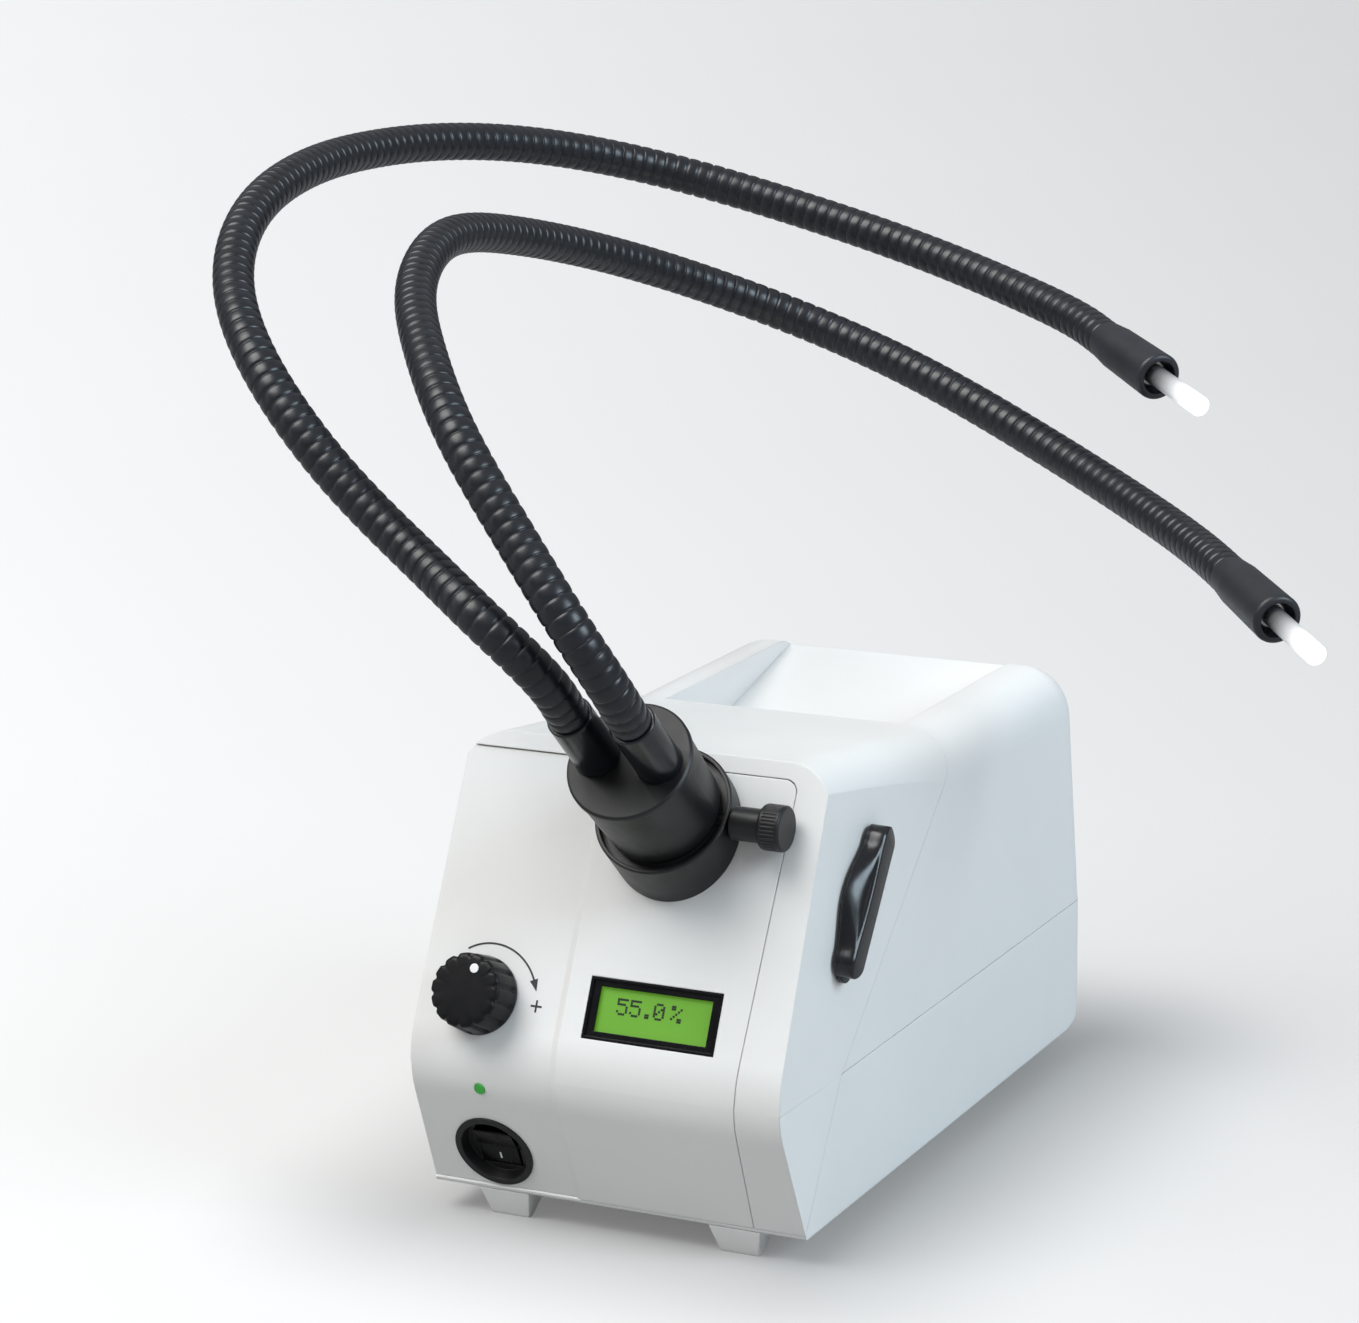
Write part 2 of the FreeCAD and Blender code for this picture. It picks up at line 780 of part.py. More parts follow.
def make_head():
    place = beam_place(0)
    start = collar_top + head_start_gap
    body = cone(head_foot_radius, head_radius - head_rim_step, head_end - head_rim - start, place, start)
    rim = rod(head_radius, head_rim, place, head_end - head_rim)
    front_edges = [edge for edge in rim.Edges if edge.Closed
                   and (edge.valueAt(0) - port_foot).dot(beam) > head_end - head_rim / 2]
    head = body.fuse(rim.makeChamfer(head_chamfer, front_edges))
    for side in (-1, 1):
        x = side * arm_spacing / 2
        head = head.cut(rod(ferrule_radius, head_rim * 3, beam_place(0, x), head_end - head_rim * 2))
        head = head.cut(rod(ferrule_bore_radius, head_end, beam_place(0, x), head_end / 2))
    head = head.cut(rod(plug_radius - over, head_end / 2 + over, place, start - over))
    return head.removeSplitter()


def make_plug():
    place = beam_place(0)
    outer = rod(plug_radius, plug_reach + collar_top, place, -plug_reach)
    return outer.cut(rod(plug_radius - over, house_depth, place, -house_depth / 2))


def make_ferrules():
    rings = []
    for side in (-1, 1):
        x = side * arm_spacing / 2
        low = head_end - head_rim * 2
        body = rod(ferrule_radius, ferrule_length + head_rim * 2, beam_place(0, x), low)
        body = fillet_where(body, ferrule_round, lambda edge: edge.Closed
                            and (edge.valueAt(0) - port_foot).dot(beam) > head_end)
        rings.append(body.cut(rod(ferrule_bore_radius, ferrule_length * 3, beam_place(0, x), low - over)))
    return Part.makeCompound(rings)


def make_head_bundle():
    # The common fibre bundle in the plug parts inside the head into one branch for each arm.
    start = collar_top + head_start_gap
    bundle = rod(plug_radius - over - bundle_gap, plug_reach + start + over, beam_place(0), -plug_reach)
    for side in (-1, 1):
        x = side * arm_spacing / 2
        foot = port_foot + beam * start + V(side * bundle_radius / 2, 0, 0)
        knee = port_foot + beam * (head_end / 2 + over) + V(x - side * over * 2, 0, 0)
        branch = Part.makeCylinder(bundle_radius / 2, (knee - foot).Length, foot, knee - foot)
        straight = rod(ferrule_bore_radius - bundle_gap, head_end / 2 + ferrule_length - bundle_gap,
                       beam_place(0, x), head_end / 2)
        bundle = bundle.fuse([branch, straight])
    return bundle.removeSplitter()


# Gooseneck arms
class ArmPath:
    # Centre line of one arm as a spline through its route points.
    def __init__(self, side, shares, direction):
        start = port_foot + beam * (head_end + ferrule_length) + V(side * arm_spacing / 2, 0, 0)
        points = [start + V(*share) * route_length for share in shares]
        self.end_direction = V(*direction).normalize()
        marks = [0.0]
        for first, second in zip(points, points[1:]):
            marks.append(marks[-1] + (second - first).Length)
        self.curve = Part.BSplineCurve()
        self.curve.interpolate(Points=points, Parameters=marks, InitialTangent=beam,
                               FinalTangent=self.end_direction, Scale=False)
        self.length = self.curve.length()

    def place(self, distance):
        u = self.curve.parameterAtDistance(min(max(distance, 0), self.length), self.curve.FirstParameter)
        return self.curve.value(u), self.curve.tangent(u)[0]


def loft_wires(path, stations):
    # Circles square to the path at the given distances, with their start points carried without twist.
    wires = []
    side = V(1, 0, 0)
    for distance, radius in stations:
        point, heading = path.place(distance)
        side = (side - heading * side.dot(heading)).normalize()
        circle = Part.Circle(point, heading, radius)
        circle.XAxis = side
        wires.append(Part.Wire([circle.toShape()]))
    return wires


def even_stations(start, stop, radius):
    rings = max(2, int(round((stop - start) / bundle_step)))
    return [(start + (stop - start) * index / rings, radius) for index in range(rings + 1)]


def rib_stations(start, stop, ribs):
    # Four circles to each rib.
    pitch = (stop - start) / ribs
    shoulder = hose_radius - rib_shoulder_drop
    stations = []
    for rib in range(ribs):
        low = start + rib * pitch
        stations += [(low, hose_radius - rib_groove), (low + pitch * rib_shoulder_share, shoulder),
                     (low + pitch / 2, hose_radius), (low + pitch * (1 - rib_shoulder_share), shoulder)]
    return stations + [(stop, hose_radius - rib_groove)]


def ribbed_hose(path, start, stop):
    # Ribbed tube with a plain bore.
    ribs = max(1, int(round((stop - start) / rib_pitch)))
    outer_wires = loft_wires(path, rib_stations(start, stop, ribs))
    inner_wires = loft_wires(path, even_stations(start, stop, hose_bore_radius))
    faces = Part.makeLoft(outer_wires, False, True).Faces + Part.makeLoft(inner_wires, False, True).Faces
    for outer_wire, inner_wire in ((outer_wires[0], inner_wires[0]), (outer_wires[-1], inner_wires[-1])):
        faces += Part.Face(outer_wire).cut(Part.Face(inner_wire)).Faces
    shell = Part.makeShell(faces)
    shell.sewShape()
    solid = Part.makeSolid(Part.Shell(shell.Faces))
    if solid.Volume < 0:
        solid.reverse()
    return solid


def plain_bundle(path, start, stop):
    return Part.makeLoft(loft_wires(path, even_stations(start, stop, bundle_radius)), True, True)


def make_arm(name, path, elbow_at):
    # Three ribbed lengths with bending gaps between them, and the fibre bundle inside.
    cuts = [0, base_hinge_at, elbow_at, path.length]
    for index, label in enumerate(("stub", "reach", "tip")):
        start = cuts[index] + (hinge_gap / 2 if index > 0 else 0)
        stop = cuts[index + 1] - (hinge_gap / 2 if index < 2 else 0)
        save(name + "_hose_" + label, ribbed_hose(path, start, stop))
        low = cuts[index] + (bundle_radius + bundle_gap if index > 0 else 0)
        core = plain_bundle(path, low, cuts[index + 1])
        if index < 2:
            core = round_end(core, path, cuts[index + 1])
        else:
            turn = FreeCAD.Rotation(V(0, 0, 1), path.end_direction)
            place = FreeCAD.Placement(path.place(path.length)[0], turn)
            run = sleeve_length - rod_inside - bundle_gap + over
            core = core.fuse(rod(bundle_radius - bundle_gap, run, place, -over)).removeSplitter()
        save(name + "_fibres_" + label, core)


def round_end(core, path, distance):
    # The bundle ends in a half ball about the middle of the bending gap.
    centre, heading = path.place(distance)
    ball = Part.makeSphere(bundle_radius, centre)
    turn = FreeCAD.Placement(centre, FreeCAD.Rotation(V(0, 0, 1), heading))
    return core.fuse(ball.common(rod(bundle_radius * 2, bundle_radius * 2, turn))).removeSplitter()


def make_tip(name, path):
    turn = FreeCAD.Rotation(V(0, 0, 1), path.end_direction)
    place = FreeCAD.Placement(path.place(path.length)[0], turn)
    root_at = sleeve_length - rod_inside
    cup_at = sleeve_length - sleeve_cup_depth
    body = cone(hose_radius, sleeve_radius, sleeve_taper, place)
    body = body.fuse(cone(sleeve_radius, sleeve_mouth_radius, sleeve_length - sleeve_taper, place, sleeve_taper))
    body = fillet_where(body, sleeve_rim_round, lambda edge: edge.Closed
                        and (edge.valueAt(0) - place.Base).dot(path.end_direction) > sleeve_length - over)
    body = body.cut(cone(sleeve_cup_floor_radius, sleeve_cup_radius, sleeve_cup_depth + over, place, cup_at))
    body = body.cut(rod(bundle_radius + bundle_gap, root_at, place))
    body = body.cut(rod(rod_root_radius, cup_at - root_at + over, place, root_at - over / 2))
    save(name + "_sleeve", body)
    face = sleeve_length + rod_reach
    ferrule = rod(rod_root_radius, cup_at - root_at, place, root_at)
    ferrule = ferrule.fuse(rod(rod_radius, face - cup_at, place, cup_at))
    save(name + "_tip_rod", ferrule.cut(rod(tip_lens_radius, tip_lens_depth, place, face - tip_lens_depth)))
    save(name + "_tip_lens", rod(tip_lens_radius, tip_lens_depth, place, face - tip_lens_depth))


# Controls
def make_knob():
    place = upper_place(knob_x, knob_s, knob_gap - left_recess)
    body = cone(knob_radius, knob_cap_radius, knob_height, place)
    flutes = []
    for index in range(knob_lobes):
        reach = knob_radius + knob_lobe_radius - knob_lobe_depth * 2
        flute = Part.makeCylinder(knob_lobe_radius, knob_height + over, V(reach, 0, knob_skirt))
        flute.rotate(V(0, 0, 0), V(0, 0, 1), 360.0 * index / knob_lobes)
        flutes.append(put(flute, place))
    body = body.cut(Part.makeCompound(flutes))
    body = body.cut(rod(pot_shaft_radius, knob_height - over * 2 + over / 2, place, -over / 2))
    return body.cut(rod(pot_bush_radius + knob_gap, over + knob_gap, place, -over / 2))


def make_potentiometer():
    place = upper_place(knob_x, knob_s)
    depth = wall + pot_body_depth
    body = rod(pot_body_radius, pot_body_depth, place, -depth)
    body = body.fuse(rod(pot_bush_radius, wall + pot_bush_height - left_recess, place, -wall))
    body = body.cut(rod(pot_shaft_radius + pot_shaft_gap, depth + over * 2, place, over - depth))
    low = over + seam_gap - depth
    high = knob_gap - left_recess + knob_height - over * 2
    return body.removeSplitter(), rod(pot_shaft_radius, high - low, place, low)


def rocker_shape(pivot):
    # Two-faced rocker with its lower (on) half pressed in, on pivot pins along X.
    half = rocker_length / 2
    crown = rocker_height * 0.55
    x = -rocker_width / 2
    wire = rounded_wire([
        (V(x, -half, crown), rocker_pin_radius / 2), (V(x, 0, crown * 0.6), 0), (V(x, half, crown), rocker_pin_radius / 2),
        (V(x, half * 0.8, -crown), rocker_pin_radius / 2), (V(x, -half * 0.8, -crown), rocker_pin_radius / 2)])
    shape = Part.Face(wire).extrude(V(rocker_width, 0, 0))
    pin_length = rocker_width + 2 * (rocker_gap + rocker_pin_reach)
    shape = shape.fuse(Part.makeCylinder(rocker_pin_radius, pin_length, V(-pin_length / 2, 0, 0), V(1, 0, 0)))
    shape.rotate(V(0, 0, 0), V(1, 0, 0), rocker_tilt)
    return put(shape, pivot)


def make_switch():
    place = lower_place(switch_x, switch_s)
    depth = switch_dish_depth + rocker_height
    outer = rod(switch_radius - switch_step, depth, place, -depth)
    outer = outer.fuse(rod(switch_radius - seam_gap, wall, place, -wall))
    outer = outer.fuse(rod(switch_radius + switch_rim, left_recess, place, -left_recess))
    dish = cone(switch_dish_floor, switch_radius - switch_rim, depth, place, -switch_dish_depth)
    slot_width = rocker_width + 2 * rocker_gap
    slot = block(slot_width, rocker_length + 2 * rocker_gap, depth * 3, place, -depth * 2)
    bezel = outer.cut(dish).cut(slot)
    pivot = lower_place(switch_x, switch_s, -rocker_pivot_depth)
    pin_room = slot_width + 2 * rocker_pin_reach + 2 * rocker_pin_gap
    pins = Part.makeCylinder(rocker_pin_radius + rocker_pin_gap, pin_room, V(-pin_room / 2, 0, 0), V(1, 0, 0))
    bezel = bezel.cut(put(pins, pivot))
    body = block(switch_body_width, switch_body_length, switch_body_depth, place, -depth - switch_body_depth)
    return biggest(bezel.removeSplitter()), rocker_shape(pivot), body


def make_display():
    place = upper_place(display_x, display_s)
    width = display_width - seam_gap
    height = display_height - seam_gap
    inner_width = width - 2 * display_rim
    inner_height = height - 2 * display_rim
    outer = block(width, height, display_depth, place, -display_depth)
    ledge_low = display_rim_step + display_ledge
    back = block(inner_width, inner_height, display_depth, place, -ledge_low - display_depth)
    front = block(inner_width, inner_height, display_depth, place, -display_rim_step)
    opening_x = display_width - 2 * display_border_x
    opening_y = display_height - 2 * display_border_y
    frame = outer.cut(back).cut(front).cut(block(opening_x, opening_y, display_depth * 3, place, -display_depth * 2))
    glass_low = ledge_low + lcd_glass_thickness
    panel_low = glass_low + lcd_panel_thickness
    board_low = panel_low + lcd_board_thickness
    fit_x = inner_width - 2 * lcd_gap
    fit_y = inner_height - 2 * lcd_gap
    glass = block(fit_x, fit_y, lcd_glass_thickness, place, -glass_low)
    panel = block(fit_x, fit_y, lcd_panel_thickness, place, -panel_low)
    board = block(fit_x, fit_y + lcd_board_margin * 2, lcd_board_thickness, place, -board_low)
    return frame, glass, panel.fuse(board).removeSplitter()


def led_place():
    # The status light stands square to the rounded knee, on the recessed side.
    run = max(knee_run - led_s, 0)
    sag = knee_round - math.sqrt(knee_round ** 2 - run ** 2)
    turn = FreeCAD.Rotation(V(1, 0, 0), -math.degrees(math.asin(run / knee_round)))
    return lower_place(led_x, led_s, -left_recess - sag).multiply(FreeCAD.Placement(V(0, 0, 0), turn))


def make_status_led():
    place = led_place()
    lamp = rod(led_radius, led_length, place, led_stand - led_length)
    top = left_recess - wall - seam_gap
    return lamp.fuse(rod(led_flange_radius, led_flange_thickness, place, top - led_flange_thickness)).removeSplitter()


# Filter slide
def grip_place():
    # Local Y runs up the grip, local X to its rear and local Z out of the side wall.
    angle = math.radians(grip_lean)
    up = V(0, math.sin(angle), math.cos(angle))
    rear = V(0, math.cos(angle), -math.sin(angle))
    base = V(half_width, port_foot.y + grip_behind, port_foot.z - grip_below)
    return FreeCAD.Placement(base, FreeCAD.Rotation(rear, up, V(1, 0, 0)))


def stadium(length, width, height, place, low=0.0, shift=0.0):
    x, y, r = width / 2, length / 2, width * 0.499
    corners = [(shift - x, -y, r), (shift + x, -y, r), (shift + x, y, r), (shift - x, y, r)]
    return flat_prism(corners, height, place, low)


def make_grip():
    place = grip_place()
    flange = stadium(grip_length, grip_flange_width, grip_flange_thickness, place)
    neck_low = grip_flange_thickness / 2
    neck = stadium(grip_bar_length, grip_neck_width, grip_bar_low, place, neck_low, -grip_bar_shift)
    bar = stadium(grip_bar_length, grip_bar_width, grip_bar_high - grip_bar_low, place, grip_bar_low, -grip_bar_shift)
    half = grip_bulge_half
    front_x = -grip_bulge
    outline = [(front_x, -half, grip_bulge_round), (front_x, half, grip_bulge_round),
               (-grip_bar_shift, half + grip_bulge_rear, 0), (-grip_bar_shift, -half - grip_bulge_rear, 0)]
    bulge = flat_prism(outline, grip_bar_low, place)
    top_x = -grip_bar_shift - grip_neck_width / 2
    slope = rounded_wire([(V(front_x - over, -grip_length, 0), 0), (V(front_x - over, -grip_length, grip_lip), 0),
                          (V(front_x, -grip_length, grip_lip), 0), (V(top_x, -grip_length, grip_bar_low), 0),
                          (V(over, -grip_length, grip_bar_low), 0), (V(over, -grip_length, 0), 0)])
    bulge = bulge.common(put(Part.Face(slope).extrude(V(0, grip_length * 2, 0)), place))
    return flange.fuse([neck, bar, bulge]).removeSplitter()


def make_filter():
    high_x = half_width - port_x
    width = high_x + filter_plate_left
    plate = block(width, filter_plate_height, filter_plate_thickness,
                  beam_place(-filter_at, (high_x - filter_plate_left) / 2), -filter_plate_thickness / 2)
    place = beam_place(-filter_at)
    plate = plate.cut(rod(filter_glass_radius, filter_plate_thickness * 2, place, -filter_plate_thickness))
    return plate, rod(filter_glass_radius, filter_glass_thickness, place, -filter_glass_thickness / 2)


def make_filter_guide():
    low = barrel_start
    depth = low - collar_tube_reach
    height = filter_plate_height + 2 * (filter_gap + guide_wall)
    width = guide_right + guide_left
    body = block(width, height, depth, beam_place(0, (guide_right - guide_left) / 2), -low)
    reach = guide_right + filter_plate_left + filter_gap + 2 * over
    slot = block(reach, filter_plate_height + 2 * filter_gap, filter_plate_thickness + 2 * filter_gap,
                 beam_place(-filter_at, (guide_right - filter_plate_left - filter_gap) / 2 + over),
                 -filter_plate_thickness / 2 - filter_gap)
    return body.cut(slot).cut(rod(filter_glass_radius, depth * 3, beam_place(0), -low - depth))


# Light engine
def make_engine():
    place = beam_place(0)
    room = led_board_thickness + emitter_thickness + led_board_room
    barrel = rod(barrel_radius, sink_at - barrel_start, place, -sink_at)
    barrel = barrel.cut(rod(barrel_bore, sink_at, place, -sink_at + room))
    barrel = barrel.cut(rod(led_board_radius + led_board_room, room * 2, place, -sink_at - room))
    lens = rod(lens_radius, lens_thickness, place, -lens_at - lens_thickness)
    dome_radius = (lens_radius ** 2 + lens_bulge ** 2) / (2 * lens_bulge)
    dome = Part.makeSphere(dome_radius, port_foot - beam * (lens_at + lens_thickness - lens_bulge + dome_radius))
    lens = lens.common(dome)
    board = rod(led_board_radius, led_board_thickness, place, -sink_at)
    emitter = block(emitter_size, emitter_size, emitter_thickness, place, -sink_at + led_board_thickness)
    board = board.fuse(emitter).removeSplitter()
    base = block(sink_size, sink_size, sink_base, place, -sink_at - sink_base)
    pitch = (sink_size - sink_fin_thickness) / (sink_fins - 1)
    fins = []
    for index in range(sink_fins):
        x = -sink_size / 2 + sink_fin_thickness / 2 + index * pitch
        fins.append(block(sink_fin_thickness, sink_size, sink_length, beam_place(0, x),
                          -sink_at - sink_base - sink_length))
    return barrel, lens, board, base.fuse(fins).removeSplitter()


def make_fan():
    start = sink_at + sink_base + sink_length
    place = beam_place(-start - fan_depth)
    frame = block(fan_size, fan_size, fan_depth, place)
    frame = frame.cut(rod(fan_bore_radius, fan_depth * 3, place, -fan_depth))
    hub = rod(fan_hub_radius, fan_strut_thickness, place)
    for index in range(3):
        strut = Part.makeBox(fan_bore_radius + over, fan_strut_width, fan_strut_thickness, V(0, -fan_strut_width / 2, 0))
        strut.rotate(V(0, 0, 0), V(0, 0, 1), 360.0 * index / 3 + 30)
        hub = hub.fuse(put(strut, place))
    pin = rod(fan_pin_radius, fan_depth * 0.6, place)
    frame = frame.fuse([hub, pin]).removeSplitter()
    low = fan_strut_thickness + stack_gap * 2
    height = fan_depth - low - stack_gap * 3
    rotor = rod(fan_hub_radius, height, place, low)
    blades = []
    for index in range(fan_blades):
        blade = Part.makeBox(fan_blade_reach - fan_hub_radius * 0.8, fan_blade_thickness, height * 1.1,
                             V(fan_hub_radius * 0.8, -fan_blade_thickness / 2, -height * 0.55))
        blade.rotate(V(0, 0, 0), V(1, 0, 0), fan_blade_pitch)
        blade.rotate(V(0, 0, 0), V(0, 0, 1), 360.0 * index / fan_blades)
        blades.append(put(blade, beam_place(-start - fan_depth + low + height / 2)))
    rotor = rotor.fuse(blades)
    rotor = rotor.cut(rod(fan_pin_radius + fan_pin_gap, fan_depth * 0.6 + stack_gap * 2, place))
    return frame, rotor.removeSplitter()


def make_bracket():
    # U-shaped bracket from the chassis up to both sides of the heat sink.
    half = sink_size / 2
    low = chassis_top
    top_y = port_foot.y + bracket_top_behind
    top_z = port_foot.z - bracket_top_below
    floor = Part.makeBox(sink_size + 2 * bracket_thickness, bracket_back_y - bracket_front_y, bracket_thickness,
                         V(port_x - half - bracket_thickness, bracket_front_y, low))
    bracket = floor
    for x in (port_x - half - bracket_thickness, port_x + half):
        cheek = yz_prism(
            [(bracket_front_y, low, 0), (bracket_back_y, low, 0),
             (top_y + bracket_arm_width, top_z - bracket_arm_width, 0),
             (top_y, top_z, bracket_thickness), (bracket_front_y, top_z, bracket_thickness)],
            x, x + bracket_thickness)
        bracket = bracket.fuse(cheek)
    return bracket.removeSplitter()


def make_chassis():
    plate = Part.makeBox(chassis_half_width * 2, chassis_back_y - chassis_front_y, chassis_thickness,
                         V(-chassis_half_width, chassis_front_y, floor_top))
    for x, y in screw_places():
        plate = plate.cut(rod(screw_shank_radius + screw_shank_gap, chassis_thickness * 3,
                              at(x, y, floor_top - chassis_thickness)))
    slots = block(intake_pitch * intake_slots, intake_slot_length, chassis_thickness * 3, at(0, intake_y, floor_top),
                  -chassis_thickness)
    plate = plate.cut(slots)
    # Three tabs step up over the rounded heel of the base and end behind the rear panel.
    tab_y = back_face - rear_panel_inset - rear_panel_thickness
    shelf_z = rear_panel_bottom + tab_rise
    run = tab_y - chassis_back_y + chassis_thickness
    for x in tab_places():
        shelf = block(tab_width, run, chassis_thickness, at(x, tab_y - run / 2, shelf_z))
        rise = block(tab_width, chassis_thickness, tab_height, at(x, tab_y - chassis_thickness / 2, shelf_z))
        post = block(tab_width, chassis_thickness, shelf_z + chassis_thickness - floor_top,
                     at(x, chassis_back_y - chassis_thickness / 2, floor_top))
        plate = plate.fuse([shelf, rise, post])
    return plate.removeSplitter()


def tab_places():
    # At the left edge of the rear panel, beside the inlet and at the right edge.
    half = rear_panel_width / 2
    return (tab_side - half, inlet_x + inlet_width / 2 + tab_side, half - tab_width)


# Power supply
def make_power():
    board_z = chassis_top + standoff_height
    place = at(0, power_board_y, board_z)
    board = block(power_board_width, power_board_length, power_board_thickness, place)
    reach_x = power_board_width / 2 - standoff_inset
    reach_y = power_board_length / 2 - standoff_inset
    for side_x in (-1, 1):
        for side_y in (-1, 1):
            post = at(side_x * reach_x, power_board_y + side_y * reach_y, chassis_top)
            board = board.fuse(rod(standoff_radius, standoff_height, post))
    top = board_z + power_board_thickness
    row = power_board_y + power_board_length * part_row_share
    offset = power_board_length * part_offset_share
    core = power_board_length * transformer_share
    can = power_board_length * capacitor_share
    coil = power_board_length * coil_share
    small = power_board_length * small_part_share
    parts = [block(core, core, transformer_height, at(-part_column, power_board_y, top)),
             rod(can, capacitor_height, at(offset, row, top)),
             rod(can, capacitor_height, at(part_column - offset, row, top)),
             block(coil, coil, coil_height, at(part_column, power_board_y - offset, top)),
             block(small, coil, small, at(offset, power_board_y - offset, top)),
             block(coil, small, small, at(-part_column, row, top))]
    return board.removeSplitter(), Part.makeCompound(parts)


def make_rear_panel():
    y = back_face - rear_panel_inset - rear_panel_thickness
    height = rear_panel_top - rear_panel_bottom - 2 * panel_gap
    middle = (rear_panel_top + rear_panel_bottom) / 2
    place = at(0, y + rear_panel_thickness / 2, middle)
    panel = block(rear_panel_width - 2 * panel_gap, rear_panel_thickness, height, place, -height / 2)
    grille_left = inlet_x + inlet_width / 2 + inlet_flange_x + grille_inlet_gap
    pitch = (rear_panel_width / 2 - grille_side - grille_left) / (grille_slots - grille_slot_share)
    first = grille_left + pitch * grille_slot_share / 2
    for index in range(grille_slots):
        slot = block(pitch * grille_slot_share, wall * 4, grille_slot_height, at(first + index * pitch, y, middle),
                     -grille_slot_height / 2)
        panel = panel.cut(slot)
    return panel.cut(block(inlet_width + panel_gap, wall * 4, inlet_height + panel_gap,
                           at(inlet_x, y, inlet_z), -(inlet_height + panel_gap) / 2))


def make_inlet():
    outer_y = back_face - rear_panel_inset + inlet_flange_thickness
    cavity_x = inlet_x - cavity_shift
    drawer_x = inlet_x + drawer_shift
    inner_y = back_face - rear_panel_inset
    flange_x = inlet_width + 2 * inlet_flange_x
    flange_z = inlet_height + 2 * inlet_flange_z
    flange = block(flange_x, inlet_flange_thickness, flange_z,
                   at(inlet_x, inner_y + inlet_flange_thickness / 2, inlet_z), -flange_z / 2)
    body = block(inlet_width, inlet_depth, inlet_height, at(inlet_x, inner_y - inlet_depth / 2, inlet_z),
                 -inlet_height / 2)
    socket = flange.fuse(body)
    turn = FreeCAD.Placement(V(cavity_x, outer_y, inlet_z), FreeCAD.Rotation(V(1, 0, 0), -90))
    x, z, r = cavity_width / 2, cavity_height / 2, cavity_round
    cavity = flat_prism([(-x, -z, r), (x, -z, r), (x, z, r), (-x, z, r)], cavity_depth + over, turn, -cavity_depth)
    socket = socket.cut(cavity)
    bay_y = outer_y - drawer_depth - drawer_gap
    bay = block(drawer_width + 2 * drawer_gap, drawer_depth * 2, drawer_height + 2 * drawer_gap,
                at(drawer_x, bay_y + drawer_depth, inlet_z), -drawer_height / 2 - drawer_gap)
    socket = socket.cut(bay)
    blades = []
    for x, rise in ((-pin_spacing, 0), (0, pin_raise), (pin_spacing, 0)):
        blades.append(block(pin_width, pin_length + over, pin_height,
                            at(cavity_x + x, outer_y - cavity_depth - over + (pin_length + over) / 2,
                               inlet_z + rise), -pin_height / 2))
    blades = Part.makeCompound(blades)
    socket = socket.cut(blades)
    return socket.removeSplitter(), blades, make_drawer(drawer_x, outer_y)


def make_drawer(drawer_x, outer_y):
    body = block(drawer_width, drawer_depth, drawer_height, at(drawer_x, outer_y - drawer_depth / 2, inlet_z),
                 -drawer_height / 2)
    hollow = block(drawer_width - 2 * drawer_rail, drawer_depth - 2 * drawer_rail, drawer_height,
                   at(drawer_x, outer_y - drawer_depth / 2, inlet_z), -drawer_height / 2 + drawer_rail)
    face = block(drawer_width + 2 * drawer_face_margin, drawer_face, drawer_height + 2 * drawer_face_margin,
                 at(drawer_x, outer_y + drawer_gap + drawer_face / 2, inlet_z),
                 -drawer_height / 2 - drawer_face_margin)
    link = block(drawer_width, drawer_gap * 2, drawer_height, at(drawer_x, outer_y, inlet_z), -drawer_height / 2)
    return body.cut(hollow).fuse([face, link]).removeSplitter()


# Feet and screws
def make_front_feet():
    slide = math.tan(undercut)
    toe_y = chin_y + chin_z * slide
    foot_x = half_width - foot_side
    feet = []
    for side in (-1, 1):
        profile = yz_prism([(chin_y, chin_z, 0), (toe_y, 0, foot_toe_round), (toe_y + foot_toe, 0, foot_toe_round),
                            (chin_y + foot_depth, chin_z, 0)],
                           side * foot_x - foot_width_top / 2, side * foot_x + foot_width_top / 2)
        top, low = foot_width_top / 2, foot_width_bottom / 2
        x = side * foot_x
        corners = [V(x - low, -house_depth, 0), V(x + low, -house_depth, 0), V(x + top, -house_depth, chin_z),
                   V(x - top, -house_depth, chin_z), V(x - low, -house_depth, 0)]
        taper = Part.Face(Part.makePolygon(corners)).extrude(V(0, house_depth * 2, 0))
        feet.append(profile.common(taper))
    return Part.makeCompound(feet)


def make_rear_feet():
    feet = []
    for side in (-1, 1):
        place = at(side * (half_width - rear_foot_side), rear_foot_y, 0)
        foot = cone(rear_foot_tip_radius, rear_foot_radius, chin_z, place)
        feet.append(foot)
    return Part.makeCompound(feet)


def make_screws():
    screws = []
    for x, y in screw_places():
        head = rod(screw_head_radius, screw_head_height, at(x, y, chin_z - screw_head_height))
        head = head.cut(block(screw_head_radius, screw_shank_radius / 2, screw_head_height,
                              at(x, y, chin_z - screw_head_height * 1.4)))
        shank = rod(screw_shank_radius, wall + chassis_thickness + nut_height, at(x, y, chin_z))
        nut = rod(nut_radius, nut_height, at(x, y, chassis_top))
        screws.append(head.fuse([shank, nut]).removeSplitter())
    return Part.makeCompound(screws)


def save_housing():
    cover, frame, panel, base = make_housing()
    save("top_cover", cover)
    save("front_frame", frame.cut(filter_slot(filter_gap)))
    save("front_panel", cut_panel(recess_left(panel)))
    save("base_shell", cut_base(base))
    save("rear_panel", make_rear_panel())
    save("front_feet", make_front_feet())
    save("rear_feet", make_rear_feet())
    save("base_screws", make_screws())
    save("chassis_plate", make_chassis())


def save_controls():
    save("intensity_knob", make_knob())
    for name, shape in zip(("potentiometer", "pot_shaft"), make_potentiometer()):
        save(name, shape)
    for name, shape in zip(("switch_bezel", "power_rocker", "switch_body"), make_switch()):
        save(name, shape)
    for name, shape in zip(("display_frame", "lcd_glass", "lcd_module"), make_display()):
        save(name, shape)
    save("status_led", make_status_led())


